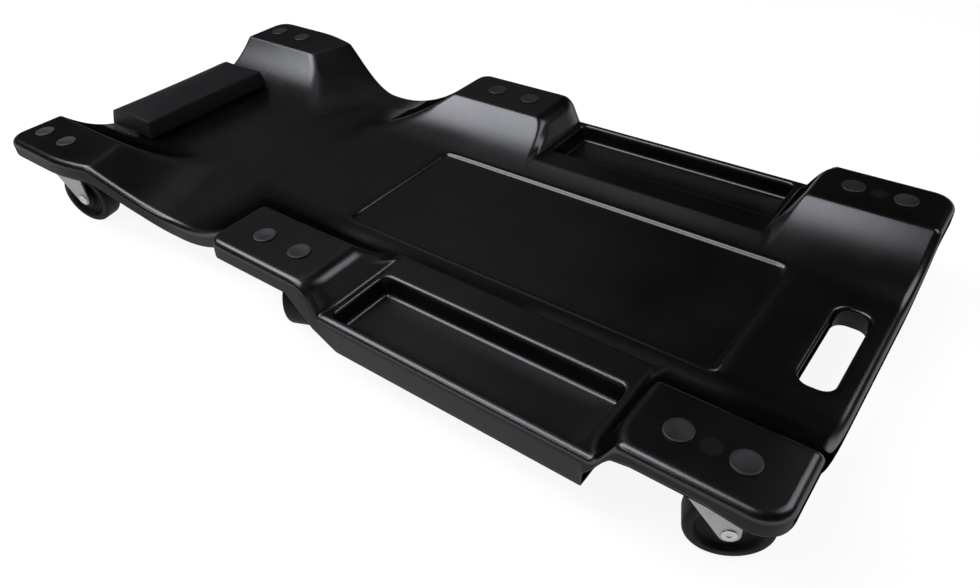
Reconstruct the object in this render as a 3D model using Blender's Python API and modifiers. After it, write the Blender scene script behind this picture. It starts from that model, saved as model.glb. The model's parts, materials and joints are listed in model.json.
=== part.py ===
# Mechanic's creeper: a one-piece moulded deck with arm cut-outs and side trays, a headrest, six swivel casters
import math

import bmesh
import bpy
import numpy as np
from mathutils import Matrix, Vector

# Driving dimensions, in metres. The head is at -X, the feet at +X, the floor at z = 0.
LENGTH = 1.008
WIDTH = 0.468
CORNER_R = 0.024
DECK_T = 0.0225
TOP_EDGE_R = 0.008
UNDER_EDGE_R = 0.004
CLEAR = 0.0003

# Where the caster kingpins stand
HEAD_END_TO_KINGPIN = 0.0595
FOOT_END_TO_KINGPIN = 0.068
MID_KINGPIN_X = -0.0165
SIDE_TO_KINGPIN = 0.0374

# How far the raised caster pads reach from their kingpins
HEAD_PAD_REACH = 0.1005
MID_PAD_ARM_REACH = 0.071
MID_PAD_TRAY_REACH = 0.065
FOOT_PAD_REACH = 0.058
PAD_WIDTH = 0.074

# Dish across the deck, from its flat middle up to the pads' inner edges
DISH_DEPTH = 0.041
DISH_RISE_WIDTH = 0.085

# Arm hollows, which cut the dish's sides away between the head and middle pads, where the outline draws in
ARM_DROP = 0.0495
ARM_INSET = 0.0365
ARM_HEAD_FLANK = 0.118
ARM_HEAD_BOW = 0.65
ARM_HEAD_SKEW = 0.37
ARM_MID_FLANK = 0.132
ARM_HEAD_DRAW = 0.190
ARM_HEAD_LAP = 0.066
ARM_MID_DRAW = 0.035
ARM_MID_LAP = 0.010

# Side trays between the middle and foot pads
RIM_DROP = 0.031
TRAY_HEAD_FLANK = 0.010
TRAY_FOOT_FLANK = 0.027
RIM_WIDTH = 0.0065
RIM_HEAD_WIDTH = 0.014
RIM_FOOT_WIDTH = 0.002
TRAY_DRAFT = 0.007
TRAY_DEPTH = 0.021
TRAY_MOUTH_WIDTH = 0.0735
TRAY_FLOOR_T = 0.0245
BOX_RAMP_TO_PLATE = 0.003
BOX_END_INSET = 0.0015
BOX_INNER_WALL_T = 0.0135
SKIRT_DRAFT = 0.2

# Hand slot at the foot end
SLOT_LENGTH = 0.114
SLOT_WIDTH = 0.0315
SLOT_CORNER_R = 0.012
SLOT_BAND = 0.0215

# Caster: wheel, pressed fork, ball ring, plate and kingpin
WHEEL_R = 0.035
WHEEL_WIDTH = 0.024
WHEEL_RIM_IN_R = 0.0265
WHEEL_WEB_OUT_R = 0.0245
WHEEL_HUB_R = 0.0125
WHEEL_WEB_T = 0.012
WHEEL_SHOULDER = 0.0035
BUSH_R = 0.0075
AXLE_R = 0.0040
RUNNING_CLEAR = 0.0006
AXLE_HEAD_R = 0.0062
AXLE_HEAD_H = 0.0018
AXLE_FLAT_R = 0.0047
TRAIL = 0.022
SHEET = 0.0025
FORK_SIDE_GAP = 0.001
FORK_EYE_R = 0.0085
FORK_CROWN_R = 0.0215
FORK_FRONT = 0.015
CROWN_GAP = 0.0116
RING_H = 0.004
RING_IN_R = 0.0115
RING_OUT_R = 0.0185
RING_SHOULDER = 0.0012
KINGPIN_R = 0.0045
KINGPIN_HEAD_R = 0.0078
KINGPIN_HEAD_H = 0.0026
KINGPIN_FLAT_R = 0.0055
KINGPIN_POCKET_CLEAR = 0.0012
PLATE_T = 0.0025
PLATE_LENGTH = 0.072
PLATE_WIDTH = 0.044
PLATE_CORNER_R = 0.007

# Deck rivets, two through each caster plate
RIVET_SPACING = 0.0508
RIVET_R = 0.0032
RIVET_HEAD_R = 0.0118
RIVET_HEAD_H = 0.0020
RIVET_LIP_R = 0.0094
RIVET_DISH = 0.0006
RIVET_TAIL_R = 0.0056
RIVET_TAIL_H = 0.0017

# Headrest: a padded block on a board, held by two screws from below
PAD_LENGTH = 0.196
PAD_DEPTH = 0.094
PAD_HEIGHT = 0.024
PAD_CROWN = 0.003
PAD_DRAW_IN = 0.003
PAD_EDGE = 0.006
PAD_CREASE = 0.75
HEAD_END_TO_PAD = 0.011
BOARD_LENGTH = 0.150
BOARD_DEPTH = 0.066
BOARD_T = 0.0045
BOARD_CORNER_R = 0.006
BOARD_END_TO_SCREW = 0.025
SCREW_R = 0.0022
SCREW_HEAD_R = 0.0046
SCREW_HEAD_H = 0.0024

# Swivel of each caster at rest: the direction its wheel trails in, in degrees about +Z
TRAIL_ANGLES = {
    "head_right": 14.0,
    "mid_right": 112.0,
    "foot_right": 26.0,
    "head_left": 22.0,
    "mid_left": 12.0,
    "foot_left": 20.0,
}

# Facets of the round pieces
WHEEL_STEPS = 24
BORE_STEPS = 16
SMALL_STEPS = 12
RIVET_STEPS = 10
CORNER_STEPS = 3
FLANK_STEPS = 7
DISH_STEPS = 2
TRAY_STEPS = 4
SMOOTH_ANGLE = math.radians(35)
PAD_FOLD_ANGLE = math.radians(60)

# Heights and places that follow from the sizes above
AXLE_Z = WHEEL_R
CROWN_UNDER_Z = 2 * WHEEL_R + CROWN_GAP
CROWN_TOP_Z = CROWN_UNDER_Z + SHEET
RING_Z = CROWN_TOP_Z + CLEAR
PLATE_Z = RING_Z + RING_H + CLEAR
PAD_UNDER_Z = PLATE_Z + PLATE_T + CLEAR
PAD_TOP_Z = PAD_UNDER_Z + DECK_T
FLOOR_Z = PAD_TOP_Z - DISH_DEPTH
RIM_Z = PAD_TOP_Z - RIM_DROP
TRAY_FLOOR_Z = RIM_Z - TRAY_DEPTH
BOX_UNDER_Z = TRAY_FLOOR_Z - TRAY_FLOOR_T

KINGPIN_Y = WIDTH / 2 - SIDE_TO_KINGPIN
DISH_RIM_Y = WIDTH / 2 - PAD_WIDTH
DISH_FLAT_Y = DISH_RIM_Y - DISH_RISE_WIDTH
HEAD_KINGPIN_X = -LENGTH / 2 + HEAD_END_TO_KINGPIN
FOOT_KINGPIN_X = LENGTH / 2 - FOOT_END_TO_KINGPIN
ARM_HEAD_X = HEAD_KINGPIN_X + HEAD_PAD_REACH
ARM_MID_X = MID_KINGPIN_X - MID_PAD_ARM_REACH
TRAY_HEAD_X = MID_KINGPIN_X + MID_PAD_TRAY_REACH
TRAY_FOOT_X = FOOT_KINGPIN_X - FOOT_PAD_REACH
RIM_HEAD_X = TRAY_HEAD_X + TRAY_HEAD_FLANK
RIM_FOOT_X = TRAY_FOOT_X - TRAY_FOOT_FLANK
MOUTH_HEAD_X = RIM_HEAD_X + RIM_HEAD_WIDTH
MOUTH_FOOT_X = RIM_FOOT_X - RIM_FOOT_WIDTH
TRAY_FLOOR_HEAD_X = MOUTH_HEAD_X + TRAY_DRAFT
TRAY_FLOOR_FOOT_X = MOUTH_FOOT_X - TRAY_DRAFT
EDGE_Y = WIDTH / 2 - TOP_EDGE_R
TRAY_OUTER_Y = EDGE_Y - RIM_WIDTH
TRAY_INNER_Y = TRAY_OUTER_Y - TRAY_MOUTH_WIDTH
TRAY_FLOOR_IN_Y = TRAY_INNER_Y + TRAY_DRAFT
TRAY_FLOOR_OUT_Y = TRAY_OUTER_Y - TRAY_DRAFT
BOX_RAMP_X = MID_KINGPIN_X + PLATE_LENGTH / 2 + BOX_RAMP_TO_PLATE
BOX_HEAD_X = TRAY_FLOOR_HEAD_X - BOX_END_INSET
BOX_FOOT_X = RIM_FOOT_X - BOX_END_INSET
BOX_INNER_Y = TRAY_FLOOR_IN_Y - BOX_INNER_WALL_T
BOX_SHOULDER_Y = BOX_INNER_Y - TRAY_DRAFT

FORK_INNER_Y = WHEEL_WIDTH / 2 + FORK_SIDE_GAP
FORK_OUTER_Y = FORK_INNER_Y + SHEET
FORK_REAR = TRAIL + FORK_EYE_R
HEADREST_X = -LENGTH / 2 + HEAD_END_TO_PAD + PAD_DEPTH / 2
BOARD_SCREW_Y = BOARD_LENGTH / 2 - BOARD_END_TO_SCREW

STATIONS = {"head": HEAD_KINGPIN_X, "mid": MID_KINGPIN_X, "foot": FOOT_KINGPIN_X}
SIDES = {"right": -KINGPIN_Y, "left": KINGPIN_Y}

for leftover in list(bpy.data.objects):
    bpy.data.objects.remove(leftover, do_unlink=True)


def new_collection(name):
    collection = bpy.data.collections.new(name)
    bpy.context.scene.collection.children.link(collection)
    return collection


PARTS = new_collection("mechanic_creeper")
CUTTERS = new_collection("cutters")


def new_material(name, colour, roughness, metallic=0.0):
    material = bpy.data.materials.new(name)
    material.use_nodes = True
    shader = material.node_tree.nodes["Principled BSDF"]
    shader.inputs["Base Color"].default_value = (*colour, 1.0)
    shader.inputs["Roughness"].default_value = roughness
    shader.inputs["Metallic"].default_value = metallic
    return material


DECK_PLASTIC = new_material("deck_plastic", (0.013, 0.013, 0.015), 0.45)
PAD_VINYL = new_material("pad_vinyl", (0.016, 0.016, 0.017), 0.55)
PLYWOOD = new_material("plywood", (0.42, 0.30, 0.18), 0.70)
ZINC = new_material("zinc_plate", (0.48, 0.48, 0.47), 0.38, 1.0)
BRIGHT_STEEL = new_material("bright_steel", (0.55, 0.55, 0.55), 0.30, 1.0)
WHEEL_RUBBER = new_material("wheel_rubber", (0.010, 0.010, 0.010), 0.60)
BUSH_NYLON = new_material("bush_nylon", (0.60, 0.58, 0.52), 0.50)
RIVET_COAT = new_material("rivet_coat", (0.035, 0.035, 0.038), 0.50, 0.6)


# Helpers that make objects


def add_object(name, mesh, material=None, parent=None, location=(0, 0, 0), turn=(0, 0, 0)):
    piece = bpy.data.objects.new(name, mesh)
    piece.location = location
    piece.rotation_euler = turn
    piece.parent = parent
    if material is None:
        piece.hide_render = True
        piece.display_type = "WIRE"
        CUTTERS.objects.link(piece)
    else:
        mesh.materials.append(material)
        PARTS.objects.link(piece)
    return piece


def add_axis(name, location, turn=(0, 0, 0), parent=None):
    axis = bpy.data.objects.new(name, None)
    axis.empty_display_size = WHEEL_R
    axis.location = location
    axis.rotation_euler = turn
    axis.parent = parent
    PARTS.objects.link(axis)
    return axis


def finish_mesh(name, bm):
    mesh = bpy.data.meshes.new(name)
    bm.to_mesh(mesh)
    bm.free()
    mesh.shade_smooth()
    mesh.set_sharp_from_angle(angle=SMOOTH_ANGLE)
    return mesh


def turned(name, profile, steps, material, closed=False, **place):
    """Turn a profile of (radius, height) points, listed down its outer side, about Z."""
    bm = bmesh.new()
    points = [bm.verts.new((radius, 0, height)) for radius, height in profile]
    for start, end in zip(points, points[1:]):
        bm.edges.new((start, end))
    if closed:
        bm.edges.new((points[-1], points[0]))
    piece = add_object(name, finish_mesh(name, bm), material, **place)
    screw = piece.modifiers.new("Turn", "SCREW")
    screw.axis = "Z"
    screw.steps = steps
    screw.render_steps = steps
    screw.use_merge_vertices = True
    screw.merge_threshold = 0.00001
    screw.use_smooth_shade = True
    return piece


def prism(name, outline, low, high):
    """A flat outline of (x, y) points, run anticlockwise, raised from low to high."""
    bm = bmesh.new()
    face = bm.faces.new([bm.verts.new((x, y, low)) for x, y in outline])
    face.normal_flip()
    raised = bmesh.ops.extrude_face_region(bm, geom=[face], use_keep_orig=True)
    lifted = [item for item in raised["geom"] if isinstance(item, bmesh.types.BMVert)]
    bmesh.ops.translate(bm, verts=lifted, vec=(0, 0, high - low))
    bmesh.ops.recalc_face_normals(bm, faces=bm.faces)
    return finish_mesh(name, bm)


def arc(centre, radius, start_deg, end_deg, steps):
    angles = [math.radians(start_deg + (end_deg - start_deg) * k / steps) for k in range(steps + 1)]
    return [(centre[0] + radius * math.cos(a), centre[1] + radius * math.sin(a)) for a in angles]


def rounded_rectangle(length, width, radius, steps=CORNER_STEPS):
    corners = ((1, 1, 0), (-1, 1, 90), (-1, -1, 180), (1, -1, 270))
    outline = []
    for sign_x, sign_y, start in corners:
        centre = (sign_x * (length / 2 - radius), sign_y * (width / 2 - radius))
        outline += arc(centre, radius, start, start + 90, steps)
    return outline


def drills(name, places, steps):
    """One cutter of upright drills, each given as (x, y, radius, low, high)."""
    bm = bmesh.new()
    for x, y, radius, low, high in places:
        middle = Matrix.Translation((x, y, (low + high) / 2))
        bmesh.ops.create_cone(bm, cap_ends=True, segments=steps, radius1=radius, radius2=radius,
                              depth=high - low, matrix=middle)
    return add_object(name, finish_mesh(name, bm))


def cut(piece, cutter, operation="DIFFERENCE"):
    boolean = piece.modifiers.new(cutter.name, "BOOLEAN")
    boolean.operation = operation
    boolean.object = cutter
    boolean.solver = "EXACT"


# The deck's surfaces, as heights over the plan


def share(t):
    return min(max(t, 0.0), 1.0)


def ease(t):
    return share(t) ** 2 * (3 - 2 * share(t))


def arm_draw(x):
    """How much of ARM_INSET the outline has drawn in by."""
    from_head = (x - ARM_HEAD_X + ARM_HEAD_LAP) / ARM_HEAD_DRAW
    from_mid = (ARM_MID_X + ARM_MID_LAP - x) / ARM_MID_DRAW
    return min(ease(from_head), ease(from_mid))


def arm_rise(x, y):
    """How far the arm hollow has climbed from its bottom to the pads on either side."""
    head_x = ARM_HEAD_X + ARM_HEAD_SKEW * (abs(y) - KINGPIN_Y)
    from_head = share((x - head_x) / ARM_HEAD_FLANK)
    to_head = (1 - from_head) ** 2 * (1 + ARM_HEAD_BOW * from_head)
    to_mid = share((x - ARM_MID_X + ARM_MID_FLANK) / ARM_MID_FLANK) ** 2
    return max(to_head, to_mid)


def arm_z(x, y):
    """Height of the arm hollow, whose bottom falls from the middle of the deck to its side."""
    bottom = FLOOR_Z + (PAD_TOP_Z - ARM_DROP - FLOOR_Z) * share(abs(y) / DISH_RIM_Y)
    return bottom + (PAD_TOP_Z - bottom) * arm_rise(x, y)


def ledge_z(x):
    """Height of the flat ledge that each tray is sunk into, falling from the pads at both of its ends."""
    from_mid = 1 - math.sqrt(1 - share((x - TRAY_HEAD_X) / TRAY_HEAD_FLANK) ** 2)
    from_foot = ease((TRAY_FOOT_X - x) / TRAY_FOOT_FLANK)
    return PAD_TOP_Z - RIM_DROP * min(from_mid, from_foot)


def dish_share(y):
    return share((abs(y) - DISH_FLAT_Y) / DISH_RISE_WIDTH) ** 2


def skin_z(x, y):
    """Height of the deck's top skin, leaving the tray hollows out."""
    dish_z = FLOOR_Z + DISH_DEPTH * dish_share(y)
    return min(dish_z, arm_z(x, y), ledge_z(x))


def in_tray(x, y):
    slack = CLEAR / 10
    along = TRAY_FLOOR_HEAD_X - slack <= x <= TRAY_FLOOR_FOOT_X + slack
    return along and TRAY_FLOOR_IN_Y - slack <= abs(y) <= TRAY_FLOOR_OUT_Y + slack


def top_z(x, y):
    return TRAY_FLOOR_Z if in_tray(x, y) else skin_z(x, y)


# Underside stations: the tray box ramps down from the middle pad and up to the foot pad
BOX_TOP_STATIONS = (TRAY_HEAD_X, TRAY_FLOOR_HEAD_X, MOUTH_FOOT_X, TRAY_FOOT_X)
BOX_UNDER_STATIONS = (BOX_RAMP_X, BOX_HEAD_X, BOX_FOOT_X, TRAY_FOOT_X)


def under_x(x):
    if x <= ARM_MID_X or x >= LENGTH / 2 - CORNER_R:
        return x
    tops = (ARM_MID_X, *BOX_TOP_STATIONS, LENGTH / 2 - CORNER_R)
    unders = (ARM_MID_X, *BOX_UNDER_STATIONS, LENGTH / 2 - CORNER_R)
    return float(np.interp(x, tops, unders))


def under_z(x, y):
    """Height of the underside at an underside station."""
    skin = skin_z(x, y) - DECK_T
    if abs(y) < BOX_INNER_Y - CLEAR / 10:
        return skin
    box = (PAD_UNDER_Z, BOX_UNDER_Z, BOX_UNDER_Z, PAD_UNDER_Z)
    return min(skin, float(np.interp(x, BOX_UNDER_STATIONS, box)))


def spread(start, end, steps):
    return [start + (end - start) * k / steps for k in range(1, steps + 1)]


# Columns run along the deck: a corner column is (end sign, angle), a plain one is its x
CORNER_ANGLES = [math.pi / 2 * k / CORNER_STEPS for k in range(CORNER_STEPS, -1, -1)]
PLAIN_COLUMNS = [
    ARM_HEAD_X - ARM_HEAD_LAP,
    *spread(ARM_HEAD_X - ARM_HEAD_LAP, ARM_HEAD_X, 2),
    *spread(ARM_HEAD_X, ARM_HEAD_X + ARM_HEAD_FLANK, FLANK_STEPS),
    *spread(ARM_HEAD_X + ARM_HEAD_FLANK, ARM_MID_X - ARM_MID_FLANK, 2),
    *spread(ARM_MID_X - ARM_MID_FLANK, ARM_MID_X, FLANK_STEPS),
    TRAY_HEAD_X,
    *[TRAY_HEAD_X + TRAY_HEAD_FLANK * math.sin(angle) for angle in spread(0, math.pi / 2, TRAY_STEPS)],
    MOUTH_HEAD_X,
    TRAY_FLOOR_HEAD_X,
    *spread(TRAY_FLOOR_HEAD_X, TRAY_FLOOR_FOOT_X, TRAY_STEPS),
    MOUTH_FOOT_X,
    RIM_FOOT_X,
    *spread(RIM_FOOT_X, TRAY_FOOT_X, TRAY_STEPS),
]
COLUMNS = (
    [(-1, angle) for angle in CORNER_ANGLES]
    + PLAIN_COLUMNS
    + [(1, angle) for angle in reversed(CORNER_ANGLES)]
)

# Rows run across it: the half list from the middle out, on the top skin and on the underside
MIDDLE_ROWS = [0.0, DISH_FLAT_Y / 2, DISH_FLAT_Y]
EDGE_ROWS = [DISH_RIM_Y, TRAY_FLOOR_OUT_Y, TRAY_OUTER_Y, EDGE_Y]
LEDGE_Y = DISH_FLAT_Y + DISH_RISE_WIDTH * math.sqrt((RIM_Z - FLOOR_Z) / DISH_DEPTH)
TOP_DISH_ROWS = spread(DISH_FLAT_Y, LEDGE_Y, DISH_STEPS) + spread(LEDGE_Y, TRAY_INNER_Y, DISH_STEPS)
UNDER_DISH_ROWS = spread(DISH_FLAT_Y, LEDGE_Y, DISH_STEPS) + spread(LEDGE_Y, BOX_SHOULDER_Y, DISH_STEPS)
SEAT_ROWS = MIDDLE_ROWS + TOP_DISH_ROWS


def seat_rise(y):
    """How far the skin, which is straight between its rows, stands above the middle of the dish."""
    return DISH_DEPTH * float(np.interp(y, SEAT_ROWS, [dish_share(row) for row in SEAT_ROWS]))


BOARD_Z = FLOOR_Z + CLEAR + max(seat_rise(BOARD_LENGTH / 2), seat_rise(PAD_LENGTH / 2) - BOARD_T)
PAD_Z = BOARD_Z + BOARD_T + CLEAR
TOP_HALF_ROWS = [*MIDDLE_ROWS, *TOP_DISH_ROWS, TRAY_FLOOR_IN_Y, *EDGE_ROWS]
UNDER_HALF_ROWS = [*MIDDLE_ROWS, *UNDER_DISH_ROWS, BOX_INNER_Y, *EDGE_ROWS]
TOP_ROWS = [-y for y in reversed(TOP_HALF_ROWS[1:])] + TOP_HALF_ROWS
UNDER_ROWS = [-y for y in reversed(UNDER_HALF_ROWS[1:])] + UNDER_HALF_ROWS
FIXED_Y = DISH_RIM_Y + TOP_EDGE_R / 2


def column_edge(column, inset, under=False):
    """The x of a column and its half width, with the outline drawn in by inset."""
    if isinstance(column, tuple):
        end, angle = column
        reach = CORNER_R - inset
        x = end * (LENGTH / 2 - CORNER_R + reach * math.sin(angle))
        return x, WIDTH / 2 - CORNER_R + reach * math.cos(angle)
    half_width = WIDTH / 2 - ARM_INSET * arm_draw(column) - inset
    return (under_x(column) if under else column), half_width


def row_y(row, half_width):
    if abs(row) <= FIXED_Y:
        return row
    outward = (abs(row) - FIXED_Y) / (EDGE_Y - FIXED_Y)
    return math.copysign(FIXED_Y + outward * (half_width - FIXED_Y), row)


def top_point(i, j):
    x, half_width = column_edge(COLUMNS[i], TOP_EDGE_R)
    y = row_y(TOP_ROWS[j], half_width)
    return Vector((x, y, top_z(x, y)))


def skirt_depth(i, j):
    x, half_width = column_edge(COLUMNS[i], 0.0)
    y = row_y(TOP_ROWS[j], half_width)
    station, _ = column_edge(COLUMNS[i], 0.0, under=True)
    return max(skin_z(x, y) - under_z(station, y) - DECK_T, 0.0)


def under_point(i, j, lift=0.0, inset=UNDER_EDGE_R):
    drawn_in = inset + SKIRT_DRAFT * skirt_depth(i, j)
    x, half_width = column_edge(COLUMNS[i], drawn_in, under=True)
    y = row_y(UNDER_ROWS[j], half_width)
    return Vector((x, y, under_z(x, y) + lift))


def skirt_top_point(i, j, drop, inset):
    x, half_width = column_edge(COLUMNS[i], inset)
    y = row_y(TOP_ROWS[j], half_width)
    return Vector((x, y, top_point(i, j).z - drop))


HALF_TURN = 1 - math.sqrt(0.5)


def deck_rings():
    """The rim of the deck, ring by ring from the top skin's edge to the underside's edge."""
    return (
        lambda i, j: skirt_top_point(i, j, TOP_EDGE_R * HALF_TURN, TOP_EDGE_R * HALF_TURN),
        lambda i, j: skirt_top_point(i, j, TOP_EDGE_R, 0.0),
        lambda i, j: under_point(i, j, UNDER_EDGE_R, 0.0),
        lambda i, j: under_point(i, j, UNDER_EDGE_R * HALF_TURN, UNDER_EDGE_R * HALF_TURN),
        under_point,
    )


def deck_mesh():
    bm = bmesh.new()
    last_i, last_j = len(COLUMNS) - 1, len(TOP_ROWS) - 1
    bmesh.ops.create_grid(bm, x_segments=last_i, y_segments=last_j, size=1.0)
    column_of = bm.verts.layers.int.new("column")
    row_of = bm.verts.layers.int.new("row")
    for vert in bm.verts:
        vert[column_of] = round((vert.co.x + 1) / 2 * last_i)
        vert[row_of] = round((vert.co.y + 1) / 2 * last_j)
    top_verts = list(bm.verts)
    rim = [edge for edge in bm.edges if edge.is_boundary]
    copy = bmesh.ops.duplicate(bm, geom=list(bm.faces))["geom"]
    under_verts = [item for item in copy if isinstance(item, bmesh.types.BMVert)]
    bmesh.ops.reverse_faces(bm, faces=[item for item in copy if isinstance(item, bmesh.types.BMFace)])
    for vert in top_verts:
        vert.co = top_point(vert[column_of], vert[row_of])
    for vert in under_verts:
        vert.co = under_point(vert[column_of], vert[row_of])
    for ring in deck_rings():
        pulled = bmesh.ops.extrude_edge_only(bm, edges=rim)["geom"]
        rim = [item for item in pulled if isinstance(item, bmesh.types.BMEdge)]
        for vert in (item for item in pulled if isinstance(item, bmesh.types.BMVert)):
            vert.co = ring(vert[column_of], vert[row_of])
    bmesh.ops.remove_doubles(bm, verts=bm.verts, dist=CLEAR / 100)
    bmesh.ops.recalc_face_normals(bm, faces=bm.faces)
    return finish_mesh("deck", bm)


def rivet_places():
    for station, x in STATIONS.items():
        for side, y in SIDES.items():
            for letter, offset in (("a", -RIVET_SPACING / 2), ("b", RIVET_SPACING / 2)):
                yield f"{station}_{side}", letter, x + offset, y


def build_deck():
    deck = add_object("deck_source", deck_mesh())
    hole_r = RIVET_R + CLEAR * 2
    through = [(x, y, hole_r, PAD_UNDER_Z - DECK_T, PAD_TOP_Z + DECK_T) for _, _, x, y in rivet_places()]
    cut(deck, drills("rivet_holes", through, RIVET_STEPS))
    pocket_r = KINGPIN_HEAD_R + KINGPIN_POCKET_CLEAR
    pocket_top = PLATE_Z + PLATE_T + KINGPIN_HEAD_H + 2 * CLEAR
    pockets = [(x, y, pocket_r, PAD_UNDER_Z - DECK_T, pocket_top)
               for x in STATIONS.values() for y in SIDES.values()]
    cut(deck, drills("kingpin_pockets", pockets, SMALL_STEPS))
    screw_holes = [(HEADREST_X, y, SCREW_R + CLEAR * 2, FLOOR_Z - 2 * DECK_T, FLOOR_Z + DECK_T)
                   for y in (-BOARD_SCREW_Y, BOARD_SCREW_Y)]
    cut(deck, drills("headrest_screw_holes", screw_holes, RIVET_STEPS))
    slot_x = LENGTH / 2 - SLOT_BAND - SLOT_WIDTH / 2
    outline = rounded_rectangle(SLOT_WIDTH, SLOT_LENGTH, SLOT_CORNER_R)
    slot = prism("hand_slot_cutter", outline, FLOOR_Z - 2 * DECK_T, FLOOR_Z + DECK_T)
    cut(deck, add_object("hand_slot_cutter", slot, location=(slot_x, 0, 0)))
    add_object("deck", evaluated_mesh(deck, "deck"), DECK_PLASTIC)


# Headrest


def build_headrest():
    board = prism("headrest_board", rounded_rectangle(BOARD_DEPTH, BOARD_LENGTH, BOARD_CORNER_R), 0, BOARD_T)
    board_piece = add_object("headrest_board", board, PLYWOOD, location=(HEADREST_X, 0, BOARD_Z))
    holes = [(HEADREST_X, y, SCREW_R + CLEAR * 2, BOARD_Z - BOARD_T, BOARD_Z + 2 * BOARD_T)
             for y in (-BOARD_SCREW_Y, BOARD_SCREW_Y)]
    cut(board_piece, drills("board_holes", holes, RIVET_STEPS))
    head_z = FLOOR_Z - DECK_T - CLEAR
    tip_z = BOARD_Z + BOARD_T
    profile = [(0, tip_z), (SCREW_R, tip_z), (SCREW_R, head_z), (SCREW_HEAD_R, head_z),
               (SCREW_HEAD_R, head_z - SCREW_HEAD_H / 2), (0, head_z - SCREW_HEAD_H)]
    for side, y in (("right", -BOARD_SCREW_Y), ("left", BOARD_SCREW_Y)):
        turned(f"headrest_screw_{side}", profile, RIVET_STEPS, BRIGHT_STEEL, location=(HEADREST_X, y, 0))
    build_pad()


def build_pad():
    """A crowned cushion whose sides draw in between its corners, flat where it rests."""
    bm = bmesh.new()
    bmesh.ops.create_cube(bm, size=1.0)
    for vert in bm.verts:
        vert.co.z += 0.5
    long_edges = [edge for edge in bm.edges if abs(edge.verts[0].co.y - edge.verts[1].co.y) > 0.5]
    bmesh.ops.subdivide_edges(bm, edges=long_edges, cuts=6, use_grid_fill=True)
    cross_edges = [edge for edge in bm.edges if abs(edge.verts[0].co.x - edge.verts[1].co.x) > 0.5]
    bmesh.ops.subdivide_edges(bm, edges=cross_edges, cuts=3, use_grid_fill=True)
    up_edges = [edge for edge in bm.edges if abs(edge.verts[0].co.z - edge.verts[1].co.z) > 0.5]
    bmesh.ops.subdivide_edges(bm, edges=up_edges, cuts=1, use_grid_fill=True)
    for vert in bm.verts:
        across, along, up = vert.co.x * 2, vert.co.y * 2, vert.co.z
        crown = (1 - across ** 2) * (1 - along ** 2)
        draw_x = PAD_DRAW_IN * (1 - along ** 2)
        draw_y = PAD_DRAW_IN * (1 - across ** 2)
        narrowing = PAD_EDGE * up
        vert.co.x = across * (PAD_DEPTH / 2 - draw_x - narrowing)
        vert.co.y = along * (PAD_LENGTH / 2 - draw_y - narrowing)
        vert.co.z = up * (PAD_HEIGHT - PAD_CROWN) + crown * PAD_CROWN * up
    crease = bm.edges.layers.float.new("crease_edge")
    for edge in bm.edges:
        corner = len(edge.link_faces) == 2 and edge.calc_face_angle() > PAD_FOLD_ANGLE
        edge[crease] = PAD_CREASE if corner else 0.0
    pad = add_object("headrest_pad", finish_mesh("headrest_pad", bm), PAD_VINYL,
                     location=(HEADREST_X, 0, PAD_Z))
    rounding = pad.modifiers.new("Round", "SUBSURF")
    rounding.levels = 1
    rounding.render_levels = 1


# Casters


def fork_mesh():
    """Crown of the pressed fork: a round front, square behind, over both legs."""
    rear = [(FORK_REAR, -FORK_OUTER_Y), (FORK_REAR, FORK_OUTER_Y)]
    start = math.degrees(math.asin(FORK_OUTER_Y / FORK_CROWN_R))
    outline = rear + arc((0, 0), FORK_CROWN_R, start, 360 - start, SMALL_STEPS)
    return prism("fork_crown", outline, CROWN_UNDER_Z, CROWN_TOP_Z)


def leg_cutter(name, y_low, y_high):
    """A leg seen from the side: wide at the crown, tapering to the eye round the axle."""
    lap_z = CROWN_TOP_Z - SHEET / 4
    eye = arc((TRAIL, AXLE_Z), FORK_EYE_R, 0, -150, SMALL_STEPS // 2)
    side = [(-FORK_FRONT, lap_z), (FORK_REAR, lap_z)] + eye
    mesh = prism(name, list(reversed(side)), 0, y_high - y_low)
    mesh.transform(Matrix.Translation((0, y_high, 0)) @ Matrix.Rotation(math.pi / 2, 4, "X"))
    return add_object(name, mesh)


def axle_drill():
    bm = bmesh.new()
    along_axle = Matrix.Translation((TRAIL, 0, AXLE_Z)) @ Matrix.Rotation(math.pi / 2, 4, "X")
    bmesh.ops.create_cone(bm, cap_ends=True, segments=SMALL_STEPS, radius1=AXLE_R + RUNNING_CLEAR,
                          radius2=AXLE_R + RUNNING_CLEAR, depth=4 * FORK_OUTER_Y, matrix=along_axle)
    return add_object("axle_drill", finish_mesh("axle_drill", bm))


def fork_template():
    """The whole fork, evaluated once into a mesh that the six forks share."""
    source = add_object("fork_source", fork_mesh())
    cut(source, leg_cutter("leg_right", -FORK_OUTER_Y, -FORK_INNER_Y), "UNION")
    cut(source, leg_cutter("leg_left", FORK_INNER_Y, FORK_OUTER_Y), "UNION")
    cut(source, axle_drill())
    bore = [(0, 0, KINGPIN_R + RUNNING_CLEAR, CROWN_UNDER_Z - SHEET, CROWN_TOP_Z + SHEET)]
    cut(source, drills("kingpin_drill", bore, SMALL_STEPS))
    return evaluated_mesh(source, "fork")


def plate_template():
    mesh = prism("caster_plate", rounded_rectangle(PLATE_LENGTH, PLATE_WIDTH, PLATE_CORNER_R), 0, PLATE_T)
    source = add_object("plate_source", mesh)
    holes = [(offset, 0, RIVET_R + CLEAR * 2, -PLATE_T, 2 * PLATE_T)
             for offset in (-RIVET_SPACING / 2, RIVET_SPACING / 2)]
    holes.append((0, 0, KINGPIN_R + CLEAR * 2, -PLATE_T, 2 * PLATE_T))
    cut(source, drills("plate_holes", holes, SMALL_STEPS))
    return evaluated_mesh(source, "caster_plate")


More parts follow.
